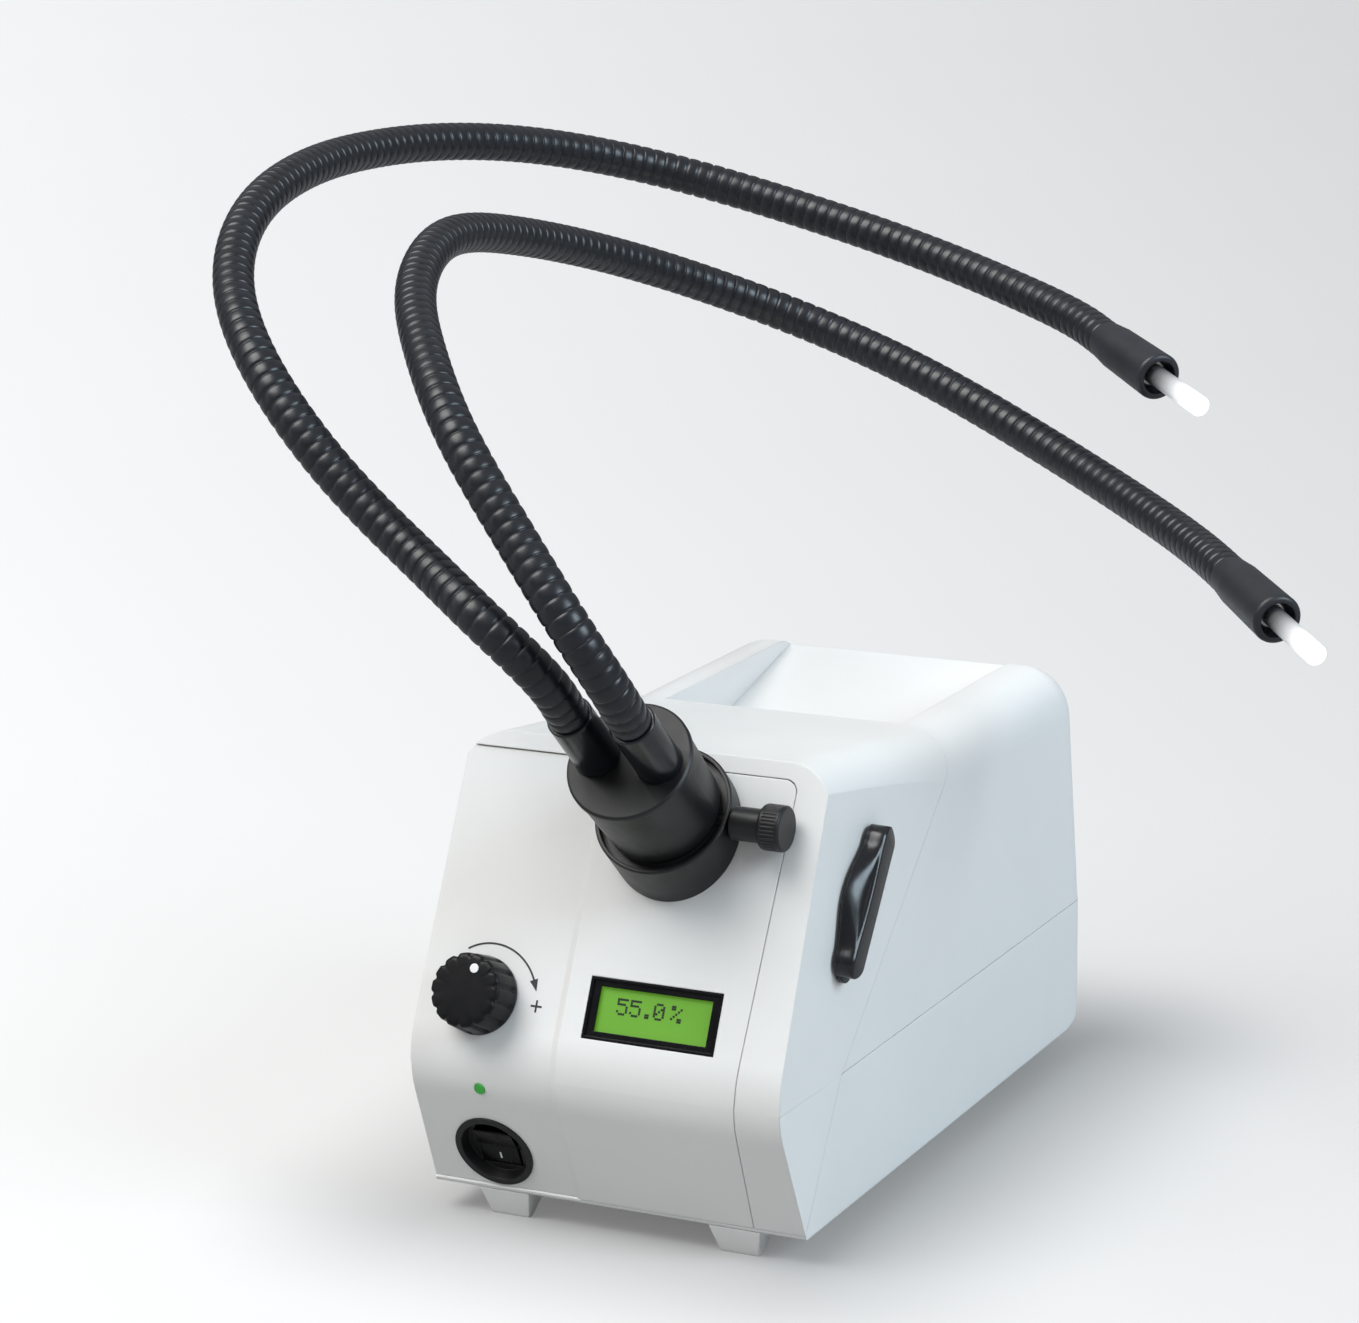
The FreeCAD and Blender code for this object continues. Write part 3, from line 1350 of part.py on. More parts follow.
def save_engine():
    save("port_collar", make_collar())
    for name, shape in zip(("lock_pad", "lock_screw"), make_lock()):
        save(name, shape)
    save("filter_guide", make_filter_guide())
    for name, shape in zip(("filter_slide", "filter_glass"), make_filter()):
        save(name, shape)
    save("filter_grip", make_grip())
    names = ("lens_barrel", "condenser_lens", "led_board", "heat_sink")
    for name, shape in zip(names, make_engine()):
        save(name, shape)
    for name, shape in zip(("fan_frame", "fan_rotor"), make_fan()):
        save(name, shape)
    save("engine_bracket", make_bracket())
    for name, shape in zip(("power_board", "power_parts"), make_power()):
        save(name, shape)
    for name, shape in zip(("inlet_socket", "inlet_pins", "fuse_drawer"), make_inlet()):
        save(name, shape)


def save_light_guide():
    save("guide_plug", make_plug())
    save("guide_head", make_head())
    save("arm_ferrules", make_ferrules())
    save("head_fibres", make_head_bundle())
    arms = (("left", -1, left_route_shares, left_tip_direction, left_elbow_at),
            ("right", 1, right_route_shares, right_tip_direction, right_elbow_at))
    for name, side, shares, direction, elbow_at in arms:
        path = ArmPath(side, shares, direction)
        make_arm(name, path, elbow_at)
        make_tip(name, path)


os.makedirs("parts", exist_ok=True)
save_housing()
save_controls()
save_engine()
save_light_guide()
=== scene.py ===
import bpy
import json
import math
import numpy as np
from mathutils import Matrix, Vector


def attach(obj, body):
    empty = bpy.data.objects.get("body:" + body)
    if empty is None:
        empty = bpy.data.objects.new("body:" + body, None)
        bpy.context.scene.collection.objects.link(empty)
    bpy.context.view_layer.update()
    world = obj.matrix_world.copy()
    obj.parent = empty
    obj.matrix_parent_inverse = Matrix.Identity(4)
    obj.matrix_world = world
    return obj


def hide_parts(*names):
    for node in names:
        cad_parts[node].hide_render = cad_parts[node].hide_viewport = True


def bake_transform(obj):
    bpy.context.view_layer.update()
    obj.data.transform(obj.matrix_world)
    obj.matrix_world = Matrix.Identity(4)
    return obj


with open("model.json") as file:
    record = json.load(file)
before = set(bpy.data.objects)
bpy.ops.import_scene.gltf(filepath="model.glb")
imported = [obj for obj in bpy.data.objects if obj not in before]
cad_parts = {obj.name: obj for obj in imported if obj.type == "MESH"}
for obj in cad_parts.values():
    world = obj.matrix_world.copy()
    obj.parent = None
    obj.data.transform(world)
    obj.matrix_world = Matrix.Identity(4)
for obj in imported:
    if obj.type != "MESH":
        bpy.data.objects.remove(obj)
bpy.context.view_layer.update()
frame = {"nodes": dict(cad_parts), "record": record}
cadNodes = frame["nodes"]
slotOf = {entry["node"]: entry["material_slot"] for entry in frame["record"]["subparts"]}
mm = 0.001
print("frame loaded:", len(cadNodes), "nodes")

# where things are on the housing, in millimetres
house = {
    "kneeY": -151.0, "kneeZ": 67.2, "upperLean": 25.3, "lowerLean": 22.3,
    "leftRecess": 0.7, "portX": 16.5, "portSlope": 99.0, "portTilt": 43.0,
}
upperAngle = math.radians(house["upperLean"])
lowerAngle = math.radians(house["lowerLean"])
tiltAngle = math.radians(house["portTilt"])
upperUp = Vector((0, math.sin(upperAngle), math.cos(upperAngle)))
upperOut = Vector((0, -math.cos(upperAngle), math.sin(upperAngle)))
lowerUp = Vector((0, -math.sin(lowerAngle), math.cos(lowerAngle)))
lowerOut = Vector((0, -math.cos(lowerAngle), -math.sin(lowerAngle)))
knee = Vector((0, house["kneeY"], house["kneeZ"]))
beam = Vector((0, -math.cos(tiltAngle), math.sin(tiltAngle)))
portFoot = knee + Vector((house["portX"], 0, 0)) + upperUp * house["portSlope"]


def onUpper(x, slope, out=0.0):  # a place on the upper front face
    return (knee + Vector((x, 0, 0)) + upperUp * slope + upperOut * out) * mm


def onLower(x, drop, out=0.0):  # a place on the lower front face, measured down from the knee
    return (knee + Vector((x, 0, 0)) - lowerUp * drop + lowerOut * out) * mm


def facing(origin, up, out):  # matrix with local Y along up and local Z along out
    side = up.cross(out)
    rows = Matrix((side, up, out)).transposed().to_4x4()
    rows.translation = origin
    return rows


# finishes: a slow cloud between two colours and two roughnesses, a fine grain, and soft light on edges; black
# anodised also gets a paler edge colour, partly wear and partly painted highlight
finishes = {
    "housing_white": {
        "colors": ((0.80, 0.80, 0.79), (0.83, 0.83, 0.82)), "rough": (0.38, 0.46), "cloud": 18,
        "grain": 2600, "height": 0.000012, "edge": 0.0007},
    "panel_white": {
        "colors": ((0.80, 0.80, 0.785), (0.83, 0.83, 0.815)), "rough": (0.38, 0.46), "cloud": 18,
        "grain": 2600, "height": 0.000012, "edge": 0.0007},
    # the feet are paler than the housing's white: painted light that lifts them out of the shade under the body
    "foot_plastic": {
        "colors": ((0.86, 0.86, 0.85), (0.89, 0.89, 0.88)), "rough": (0.40, 0.5), "cloud": 60,
        "grain": 2200, "height": 0.00002, "edge": 0.0008},
    "foot_rubber": {
        "colors": ((0.018, 0.018, 0.020), (0.03, 0.03, 0.032)), "rough": (0.7, 0.85), "cloud": 90,
        "grain": 1800, "height": 0.00004, "edge": 0.0008, "gloss": 0.3},
    "zinc_steel": {
        "colors": ((0.50, 0.50, 0.51), (0.66, 0.66, 0.66)), "rough": (0.3, 0.45), "cloud": 40,
        "grain": 900, "height": 0.000008, "edge": 0.0003, "metal": 1.0, "stretch": (1, 12, 1)},
    "black_anodised": {
        "colors": ((0.008, 0.008, 0.009), (0.013, 0.013, 0.014)), "rough": (0.36, 0.44), "cloud": 50,
        "grain": 2400, "height": 0.000008, "edge": 0.0006, "edgeWearAndSheen": (0.07, 0.07, 0.075), "gloss": 0.42},
    "black_plastic": {
        "colors": ((0.006, 0.006, 0.007), (0.011, 0.011, 0.012)), "rough": (0.34, 0.44), "cloud": 70,
        "grain": 2400, "height": 0.000012, "edge": 0.0006, "gloss": 0.35},
    "black_gloss": {
        "colors": ((0.003, 0.003, 0.004), (0.005, 0.005, 0.006)), "rough": (0.22, 0.30), "cloud": 70,
        "grain": 2400, "height": 0.000006, "edge": 0.0004, "gloss": 0.16},
    "knob_black": {
        "colors": ((0.005, 0.005, 0.006), (0.009, 0.009, 0.010)), "rough": (0.30, 0.38), "cloud": 80,
        "grain": 3000, "height": 0.00001, "edge": 0.0004, "gloss": 0.18},
    "hose_black": {
        "colors": ((0.006, 0.007, 0.010), (0.010, 0.012, 0.017)), "rough": (0.30, 0.38), "cloud": 120,
        "grain": 2600, "height": 0.000006, "edge": 0.0, "gloss": 0.5},
    "nickel": {
        "colors": ((0.42, 0.42, 0.42), (0.55, 0.55, 0.54)), "rough": (0.24, 0.34), "cloud": 60,
        "grain": 1400, "height": 0.000004, "edge": 0.0003, "metal": 1.0},
    "led_green": {
        "colors": ((0.02, 0.22, 0.03), (0.05, 0.34, 0.05)), "rough": (0.2, 0.3), "cloud": 600,
        "grain": 1600, "height": 0.00003, "edge": 0.0003, "glow": ((0.05, 0.60, 0.06), 0.16)},
    "board_green": {
        "colors": ((0.02, 0.13, 0.05), (0.03, 0.19, 0.08)), "rough": (0.35, 0.5), "cloud": 150,
        "grain": 700, "height": 0.00002, "edge": 0.0},
    "display_green": {
        "colors": ((0.14, 0.34, 0.030), (0.16, 0.37, 0.035)), "rough": (0.5, 0.6), "cloud": 40,
        "grain": 900, "height": 0.000004, "edge": 0.0},
    "aluminium_raw": {
        "colors": ((0.60, 0.60, 0.61), (0.70, 0.70, 0.71)), "rough": (0.3, 0.42), "cloud": 60,
        "grain": 800, "height": 0.000006, "edge": 0.0003, "metal": 1.0, "stretch": (1, 10, 10)},
    "brass_pins": {
        "colors": ((0.60, 0.46, 0.22), (0.70, 0.56, 0.30)), "rough": (0.22, 0.32), "cloud": 90,
        "grain": 900, "height": 0.000004, "edge": 0.0003, "metal": 1.0},
    "fibre_bundle": {
        "colors": ((0.05, 0.05, 0.055), (0.09, 0.09, 0.095)), "rough": (0.5, 0.65), "cloud": 200,
        "grain": 900, "height": 0.00003, "edge": 0.0},
    "component_mix": {
        "colors": ((0.05, 0.05, 0.055), (0.10, 0.08, 0.06)), "rough": (0.4, 0.55), "cloud": 70,
        "grain": 700, "height": 0.00003, "edge": 0.0004},
    "ferrule_satin": {
        "colors": ((0.005, 0.006, 0.008), (0.009, 0.010, 0.013)), "rough": (0.20, 0.26), "cloud": 60,
        "grain": 2400, "height": 0.000004, "edge": 0.0005, "gloss": 0.6},
    "sleeve_satin": {
        "colors": ((0.008, 0.010, 0.014), (0.013, 0.016, 0.022)), "rough": (0.40, 0.48), "cloud": 60,
        "grain": 2400, "height": 0.000008, "edge": 0.0005, "gloss": 0.6},
    "ink_white": {
        "colors": ((0.80, 0.80, 0.80), (0.88, 0.88, 0.88)), "rough": (0.4, 0.5), "cloud": 400,
        "grain": 2400, "height": 0.00001, "edge": 0.0},
    "ink_black": {
        "colors": ((0.022, 0.022, 0.024), (0.035, 0.035, 0.038)), "rough": (0.45, 0.55), "cloud": 300,
        "grain": 2400, "height": 0.00001, "edge": 0.0},
    "grip_satin": {
        "colors": ((0.005, 0.006, 0.008), (0.009, 0.010, 0.013)), "rough": (0.20, 0.27), "cloud": 90,
        "grain": 2400, "height": 0.000006, "edge": 0.0, "gloss": 0.5},
    "lcd_ink": {
        "colors": ((0.006, 0.018, 0.004), (0.008, 0.024, 0.005)), "rough": (0.5, 0.6), "cloud": 200,
        "grain": 900, "height": 0.000004, "edge": 0.0},
}
nodeFinish = {"arm_ferrules": "ferrule_satin", "left_sleeve": "sleeve_satin",  # where it isn't the slot's own
              "right_sleeve": "sleeve_satin", "front_frame": "panel_white"}
clearFinishes = {
    "clear_lens": {"tint": (0.95, 0.97, 0.98), "rough": (0.0, 0.03)},
    "heat_glass": {"tint": (0.70, 0.90, 0.85), "rough": (0.02, 0.06)},
    "display_window": {"tint": (0.02, 0.03, 0.02), "rough": (0.05, 0.10), "alpha": 0.12},
}
texture = {"cloudDetail": 4.0, "smudgeScale": 2.7, "fineDetail": 2.0, "bevelSamples": 6, "glassCloud": 160,
           "ior": 1.48, "wearAndSheenMost": 0.55, "wearAndSheenFrom": 0.80, "wearAndSheenTo": 0.99}
made = {}


def startMaterial(name):
    material = bpy.data.materials.new(name)
    material.use_nodes = True
    made[name] = material
    nodes = material.node_tree.nodes
    return nodes["Principled BSDF"], nodes, material.node_tree.links


def placeCoords(nodes, links, stretch=(1, 1, 1)):  # the piece's own coordinates
    coords = nodes.new("ShaderNodeTexCoord")
    mapping = nodes.new("ShaderNodeMapping")
    mapping.inputs["Scale"].default_value = stretch
    links.new(coords.outputs["Object"], mapping.inputs["Vector"])
    return mapping.outputs["Vector"]


def noise(nodes, links, vector, scale, detail=3.0):
    node = nodes.new("ShaderNodeTexNoise")
    node.inputs["Scale"].default_value = scale
    node.inputs["Detail"].default_value = detail
    links.new(vector, node.inputs["Vector"])
    return node.outputs["Fac"]


def span(nodes, links, value, low, high, fromLow=0.3, fromHigh=0.7):  # from one range of values to another
    ranger = nodes.new("ShaderNodeMapRange")
    ranger.inputs["From Min"].default_value = fromLow
    ranger.inputs["From Max"].default_value = fromHigh
    ranger.inputs["To Min"].default_value = low
    ranger.inputs["To Max"].default_value = high
    links.new(value, ranger.inputs["Value"])
    return ranger.outputs["Result"]


def blendColors(nodes, links, value, first, second):  # sockets 6, 7 and 2 of this node carry colours
    mixer = nodes.new("ShaderNodeMix")
    mixer.data_type = "RGBA"
    for socket, color in ((mixer.inputs[6], first), (mixer.inputs[7], second)):
        if hasattr(color, "links"):
            links.new(color, socket)
        else:
            socket.default_value = (*color, 1)
    links.new(value, mixer.inputs[0])
    return mixer.outputs[2]


def mathNode(nodes, links, operation, first, second):
    node = nodes.new("ShaderNodeMath")
    node.operation = operation
    for socket, value in zip(node.inputs, (first, second)):
        if hasattr(value, "links"):
            links.new(value, socket)
        else:
            socket.default_value = value
    return node.outputs["Value"]


def vectorNode(nodes, links, operation, first, second=None):
    node = nodes.new("ShaderNodeVectorMath")
    node.operation = operation
    links.new(first, node.inputs[0])
    if hasattr(second, "links"):
        links.new(second, node.inputs[1])
    elif second is not None:
        node.inputs[1].default_value = second
    return node.outputs["Value" if operation in ("LENGTH", "DOT_PRODUCT") else "Vector"]


def edgeWearAndSheenMask(nodes, links, bevelNormal):  # paler edge colour, partly wear and partly painted highlight: how far the rounded normal leans away from the true one
    geometry = nodes.new("ShaderNodeNewGeometry")
    lean = vectorNode(nodes, links, "DOT_PRODUCT", bevelNormal, geometry.outputs["Normal"])
    return span(nodes, links, lean, texture["wearAndSheenMost"], 0.0, texture["wearAndSheenFrom"], texture["wearAndSheenTo"])


def makeFinish(name, look):
    shader, nodes, links = startMaterial(name)
    vector = placeCoords(nodes, links, look.get("stretch", (1, 1, 1)))
    cloud = noise(nodes, links, vector, look["cloud"], texture["cloudDetail"])
    color = blendColors(nodes, links, span(nodes, links, cloud, 0, 1), *look["colors"])
    smudge = noise(nodes, links, vector, look["cloud"] * texture["smudgeScale"], texture["fineDetail"])
    links.new(span(nodes, links, smudge, *look["rough"]), shader.inputs["Roughness"])
    bump = nodes.new("ShaderNodeBump")
    bump.inputs["Distance"].default_value = look["height"]
    bump.inputs["Strength"].default_value = 1.0
    links.new(noise(nodes, links, vector, look["grain"], texture["fineDetail"]), bump.inputs["Height"])
    if look["edge"] > 0:
        bevel = nodes.new("ShaderNodeBevel")
        bevel.samples = texture["bevelSamples"]
        bevel.inputs["Radius"].default_value = look["edge"]
        links.new(bevel.outputs["Normal"], bump.inputs["Normal"])
        # paler colour along the edges: partly wear, partly a painted highlight
        if "edgeWearAndSheen" in look:
            wearAndSheen = edgeWearAndSheenMask(nodes, links, bevel.outputs["Normal"])
            color = blendColors(nodes, links, wearAndSheen, color, look["edgeWearAndSheen"])
    links.new(color, shader.inputs["Base Color"])
    links.new(bump.outputs["Normal"], shader.inputs["Normal"])
    shader.inputs["Metallic"].default_value = look.get("metal", 0.0)
    shader.inputs["Specular IOR Level"].default_value = look.get("gloss", 0.5)
    if "glow" in look:
        shader.inputs["Emission Color"].default_value = (*look["glow"][0], 1)
        shader.inputs["Emission Strength"].default_value = look["glow"][1]


def makeClear(name, look):
    shader, nodes, links = startMaterial(name)
    vector = placeCoords(nodes, links)
    shader.inputs["Base Color"].default_value = (*look["tint"], 1)
    if "alpha" in look:
        shader.inputs["Alpha"].default_value = look["alpha"]
    else:
        shader.inputs["Transmission Weight"].default_value = 1.0
        shader.inputs["IOR"].default_value = texture["ior"]
    cloud = noise(nodes, links, vector, texture["glassCloud"])
    links.new(span(nodes, links, cloud, *look["rough"]), shader.inputs["Roughness"])


for name, look in finishes.items():
    makeFinish(name, look)
for name, look in clearFinishes.items():
    makeClear(name, look)
for name, obj in cadNodes.items():
    obj.data.materials.clear()
    obj.data.materials.append(made[nodeFinish.get(name, slotOf[name])])
print("finishes made:", len(made))


def newPiece(name, vertices, faces, materialName, smooth=True):  # a mesh object with one finish
    mesh = bpy.data.meshes.new(name)
    mesh.from_pydata([tuple(v) for v in vertices], [], faces)
    mesh.update()
    if smooth:
        mesh.polygons.foreach_set("use_smooth", [True] * len(mesh.polygons))
    mesh.materials.append(made[materialName])
    obj = bpy.data.objects.new(name, mesh)
    bpy.context.scene.collection.objects.link(obj)
    return obj


def angles(around, shift=0.0):  # equal steps round a circle
    return [2 * math.pi * (step + shift) / around for step in range(around)]


def ringFaces(rings, around, closedEnds=(False, False)):  # quads between rings of points
    faces = []
    for ring in range(rings - 1):
        for step in range(around):
            ahead = (step + 1) % around
            faces.append((ring * around + step, ring * around + ahead,
                          (ring + 1) * around + ahead, (ring + 1) * around + step))
    if closedEnds[0]:
        faces.append(tuple(reversed(range(around))))
    if closedEnds[1]:
        faces.append(tuple(range((rings - 1) * around, rings * around)))
    return faces


# gooseneck hoses: each route starts at the mouth of its ferrule and ends at the foot of its sleeve
arms = {
    "left": {
        "side": -1, "elbow": 520.0, "direction": (0.735, -0.65, -0.19),
        "route": [(0, 0, 0), (0, -11, 11), (-17, -24, 35), (-49, -13, 53), (-89, -5, 81), (-123, 4, 113),
                  (-154, 33, 140), (-174, 79, 161), (-183, 132, 171), (-186, 187, 173), (-179, 242, 171),
                  (-160, 293, 164), (-125, 339, 150), (-64, 349, 134), (-2, 341, 119), (44, 325, 108),
                  (80, 305, 99), (91, 295, 96)]},
    "right": {
        "side": 1, "elbow": 480.0, "direction": (0.665, -0.725, -0.17),
        "route": [(0, 0, 0), (0, -11, 11), (-10, -24, 37), (-33, -19, 65), (-62, -8, 98), (-92, 22, 123),
                  (-118, 62, 139), (-134, 113, 150), (-137, 167, 145), (-132, 221, 133), (-115, 270, 117),
                  (-79, 305, 97), (-23, 303, 78), (36, 286, 57), (98, 249, 39), (145, 202, 30),
                  (155, 190, 28)]},
}
hose = {"headEnd": 50.5, "ferrule": 29.5, "armSpacing": 24.8, "baseHinge": 40.0, "pitch": 5.35, "around": 40,
        "split": 270.0, "blendBase": 34.0, "blendElbow": 60.0, "curvePoints": 6001, "probe": 0.5,
        "ribShares": [(0.0, 0.915), (0.05, 0.94), (0.11, 0.972), (0.22, 0.989), (0.36, 0.997), (0.5, 1.0),
                      (0.64, 0.997), (0.78, 0.989), (0.89, 0.972), (0.95, 0.94)],
        "radius": 7.78}


def armCurve(arm):  # clamped cubic through the route, by chord length
    start = portFoot + beam * (hose["headEnd"] + hose["ferrule"])
    start = start + Vector((arm["side"] * hose["armSpacing"] / 2, 0, 0))
    points = np.array([np.array(start) + np.array(p) for p in arm["route"]], float)
    marks = np.concatenate([[0], np.cumsum(np.linalg.norm(np.diff(points, axis=0), axis=1))])
    first = np.array(beam)
    last = np.array(Vector(arm["direction"]).normalized())
    count = len(points)
    gaps = np.diff(marks)
    system = np.zeros((count, count))
    target = np.zeros((count, 3))
    system[0, 0] = system[-1, -1] = 1
    target[0], target[-1] = first, last
    for k in range(1, count - 1):
        before, after = gaps[k - 1], gaps[k]
        system[k, k - 1] = after
        system[k, k] = 2 * (before + after)
        system[k, k + 1] = before
        target[k] = 3 * (after * (points[k] - points[k - 1]) / before
                         + before * (points[k + 1] - points[k]) / after)
    slopes = np.linalg.solve(system, target)
    fine = np.linspace(0, marks[-1], hose["curvePoints"])
    index = np.clip(np.searchsorted(marks, fine, side="right") - 1, 0, count - 2)
    step = gaps[index]
    t = ((fine - marks[index]) / step)[:, None]
    step = step[:, None]
    line = ((2 * t ** 3 - 3 * t ** 2 + 1) * points[index] + (t ** 3 - 2 * t ** 2 + t) * step * slopes[index]
            + (3 * t ** 2 - 2 * t ** 3) * points[index + 1] + (t ** 3 - t ** 2) * step * slopes[index + 1])
    length = np.concatenate([[0], np.cumsum(np.linalg.norm(np.diff(line, axis=0), axis=1))])
    return line, length


def armPlace(curve, distance):  # point and heading at a distance along the curve
    line, length = curve

    def at(where):
        return np.array([np.interp(where, length, line[:, k]) for k in range(3)])

    low = at(max(distance - hose["probe"], 0))
    high = at(min(distance + hose["probe"], length[-1]))
    return Vector(at(distance)), Vector(high - low).normalized()


def hoseMesh(name, curve, start, stop):
    ribs = int(round((stop - start) / hose["pitch"]))
    pitch = (stop - start) / ribs
    vertices = []
    side = Vector((1, 0, 0))
    stations = [(start + (rib + share) * pitch, scale)
                for rib in range(ribs) for share, scale in hose["ribShares"]]
    stations.append((stop, hose["ribShares"][0][1]))
    for distance, scale in stations:
        spot, heading = armPlace(curve, distance)
        side = (side - heading * side.dot(heading)).normalized()
        over = heading.cross(side)
        radius = hose["radius"] * scale
        for angle in angles(hose["around"]):
            vertices.append((spot + (side * math.cos(angle) + over * math.sin(angle)) * radius) * mm)
    return newPiece(name, vertices, ringFaces(len(stations), hose["around"]), "hose_black")


curves = {name: armCurve(arm) for name, arm in arms.items()}
split = round(hose["split"] / hose["pitch"]) * hose["pitch"]  # the two lengths of hose meet between ribs
for name, arm in arms.items():
    curve = curves[name]
    total = curve[1][-1]
    near = hoseMesh(name + "HoseNear", curve, 0, split)
    baseSpot, baseHeading = armPlace(curve, hose["baseHinge"])
    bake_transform(near)
    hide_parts(name + "_hose_stub", name + "_hose_reach")
    far = hoseMesh(name + "HoseFar", curve, split, total)
    elbowSpot, elbowHeading = armPlace(curve, arm["elbow"])
    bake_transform(far)
    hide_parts(name + "_hose_tip")
    print("hose", name, "length", round(total, 1))

# lit end of each light rod, with the rod paling towards it
rodEnd = {"sleeve": 45.0, "cup": 6.0, "clear": 0.1, "reach": 33.0, "radius": 4.0, "skin": 0.06, "around": 40,
          "tipProfile": [(-2.0, 1.0), (0.05, 1.0), (0.25, 0.96), (0.38, 0.80), (0.45, 0.40), (0.47, 0.05)],
          "dark": (0.10, 0.10, 0.105), "pale": (0.82, 0.83, 0.84), "litFrom": 0.20, "litTo": 0.98,
          "litPower": 1.6, "glowTo": 0.75, "glowColor": (0.97, 0.99, 1.0), "cloud": 300, "rough": (0.25, 0.35)}


def rodFinish():  # strength grows along the rod's own axis
    shader, nodes, links = startMaterial("rod_light")
    shader.inputs["Base Color"].default_value = (*rodEnd["dark"], 1)
    coords = nodes.new("ShaderNodeTexCoord")
    axes = nodes.new("ShaderNodeSeparateXYZ")
    links.new(coords.outputs["Object"], axes.inputs[0])
    start, stop = rodEnd["reach"] * rodEnd["litFrom"] * mm, rodEnd["reach"] * rodEnd["litTo"] * mm
    share = span(nodes, links, axes.outputs["Z"], 0.0, 1.0, start, stop)
    power = mathNode(nodes, links, "POWER", share, rodEnd["litPower"])
    links.new(blendColors(nodes, links, power, rodEnd["dark"], rodEnd["pale"]), shader.inputs["Base Color"])
    glow = span(nodes, links, power, 0.0, rodEnd["glowTo"], 0.0, 1.0)
    links.new(glow, shader.inputs["Emission Strength"])
    shader.inputs["Emission Color"].default_value = (*rodEnd["glowColor"], 1)
    cloud = noise(nodes, links, coords.outputs["Object"], rodEnd["cloud"])
    links.new(span(nodes, links, cloud, *rodEnd["rough"]), shader.inputs["Roughness"])


def rodSkin(name, curve):  # thin bright sleeve over the rod, closed by the lit end
    spot, heading = curve[0][-1], Vector(arms[name]["direction"]).normalized()
    low, high = rodEnd["sleeve"] - rodEnd["cup"] + rodEnd["clear"], rodEnd["sleeve"] + rodEnd["reach"]
    radius = rodEnd["radius"] + rodEnd["skin"]
    profile = [(low, 1.0)] + [(high + lift, share) for lift, share in rodEnd["tipProfile"]]
    vertices = []
    for height, share in profile:
        for angle in angles(rodEnd["around"]):
            x, y = radius * share * math.cos(angle), radius * share * math.sin(angle)
            vertices.append(Vector((x, y, height - low)) * mm)
    faces = ringFaces(len(profile), rodEnd["around"], (False, True))
    piece = newPiece(name + "RodSkin", vertices, faces, "rod_light")
    place = heading.to_track_quat("Z", "Y").to_matrix().to_4x4()
    place.translation = (Vector(spot) + heading * low) * mm
    piece.matrix_world = place
    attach(piece, name + "_tip")


rodFinish()
for name in arms:
    rodSkin(name, curves[name])
print("lit rods made")

# intensity knob with its pointer dot
knob = {"x": -50.0, "slope": 27.5, "lift": -0.2, "height": 14.5, "baseRadius": 15.0, "lobes": 14,
        "fluteDepth": 0.95, "flutePower": 1.6, "fluteFrom": 0.10, "fluteFade": 0.05, "capFrom": 0.55,
        "capFade": 0.25, "around": 336,
        "profile": [(0.0, 0.90), (0.0, 0.985), (0.02, 1.0), (0.10, 1.0), (0.14, 0.992), (0.30, 0.985),
                    (0.6, 0.965), (0.86, 0.945), (0.93, 0.935), (0.965, 0.915), (0.985, 0.89), (1.0, 0.85),
                    (1.006, 0.80), (1.012, 0.6), (1.016, 0.3), (1.018, 0.02)]}
dot = {"x": 2.8, "y": 8.3, "radius": 1.75, "thick": 0.25, "capShare": 1.012, "around": 48,
       "profile": [(0.0, 1.0), (0.75, 1.0), (0.925, 0.97), (1.0, 0.90)]}


def knobRadius(share, height, angle):  # flutes start above the skirt and fade towards the cap's middle
    base = knob["baseRadius"] * share
    phase = (angle * knob["lobes"] / (2 * math.pi)) % 1.0
    notch = max(0.0, math.cos((phase - 0.5) * 2 * math.pi)) ** knob["flutePower"]
    rise = min(1.0, max(0.0, (height - knob["fluteFrom"]) / knob["fluteFade"]))
    cap = min(1.0, max(0.0, (share - knob["capFrom"]) / knob["capFade"]))
    return base - knob["fluteDepth"] * notch * rise * cap


def knobPiece():
    vertices = []
    for height, share in knob["profile"]:
        for angle in angles(knob["around"]):
            radius = knobRadius(share, height, angle)
            x, y = radius * math.cos(angle), radius * math.sin(angle)
            vertices.append(Vector((x, y, height * knob["height"])) * mm)
    faces = ringFaces(len(knob["profile"]), knob["around"], (True, True))
    piece = newPiece("intensityKnob", vertices, faces, "knob_black")
    piece.matrix_world = facing(onUpper(knob["x"], knob["slope"], knob["lift"]), upperUp, upperOut)
    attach(piece, "knob")
    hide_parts("intensity_knob")


def dotPiece():  # raised white dot on the knob's cap
    vertices = []
    for height, share in dot["profile"]:
        for angle in angles(dot["around"]):
            x, y = dot["radius"] * share * math.cos(angle), dot["radius"] * share * math.sin(angle)
            vertices.append(Vector((x, y, dot["thick"] * height)) * mm)
    faces = ringFaces(len(dot["profile"]), dot["around"], (True, True))
    piece = newPiece("knobDot", vertices, faces, "ink_white")
    top = knob["lift"] + knob["height"] * dot["capShare"]
    piece.matrix_world = facing(onUpper(knob["x"] + dot["x"], knob["slope"] + dot["y"], top), upperUp, upperOut)
    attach(piece, "knob")


knobPiece()
dotPiece()
print("knob made")

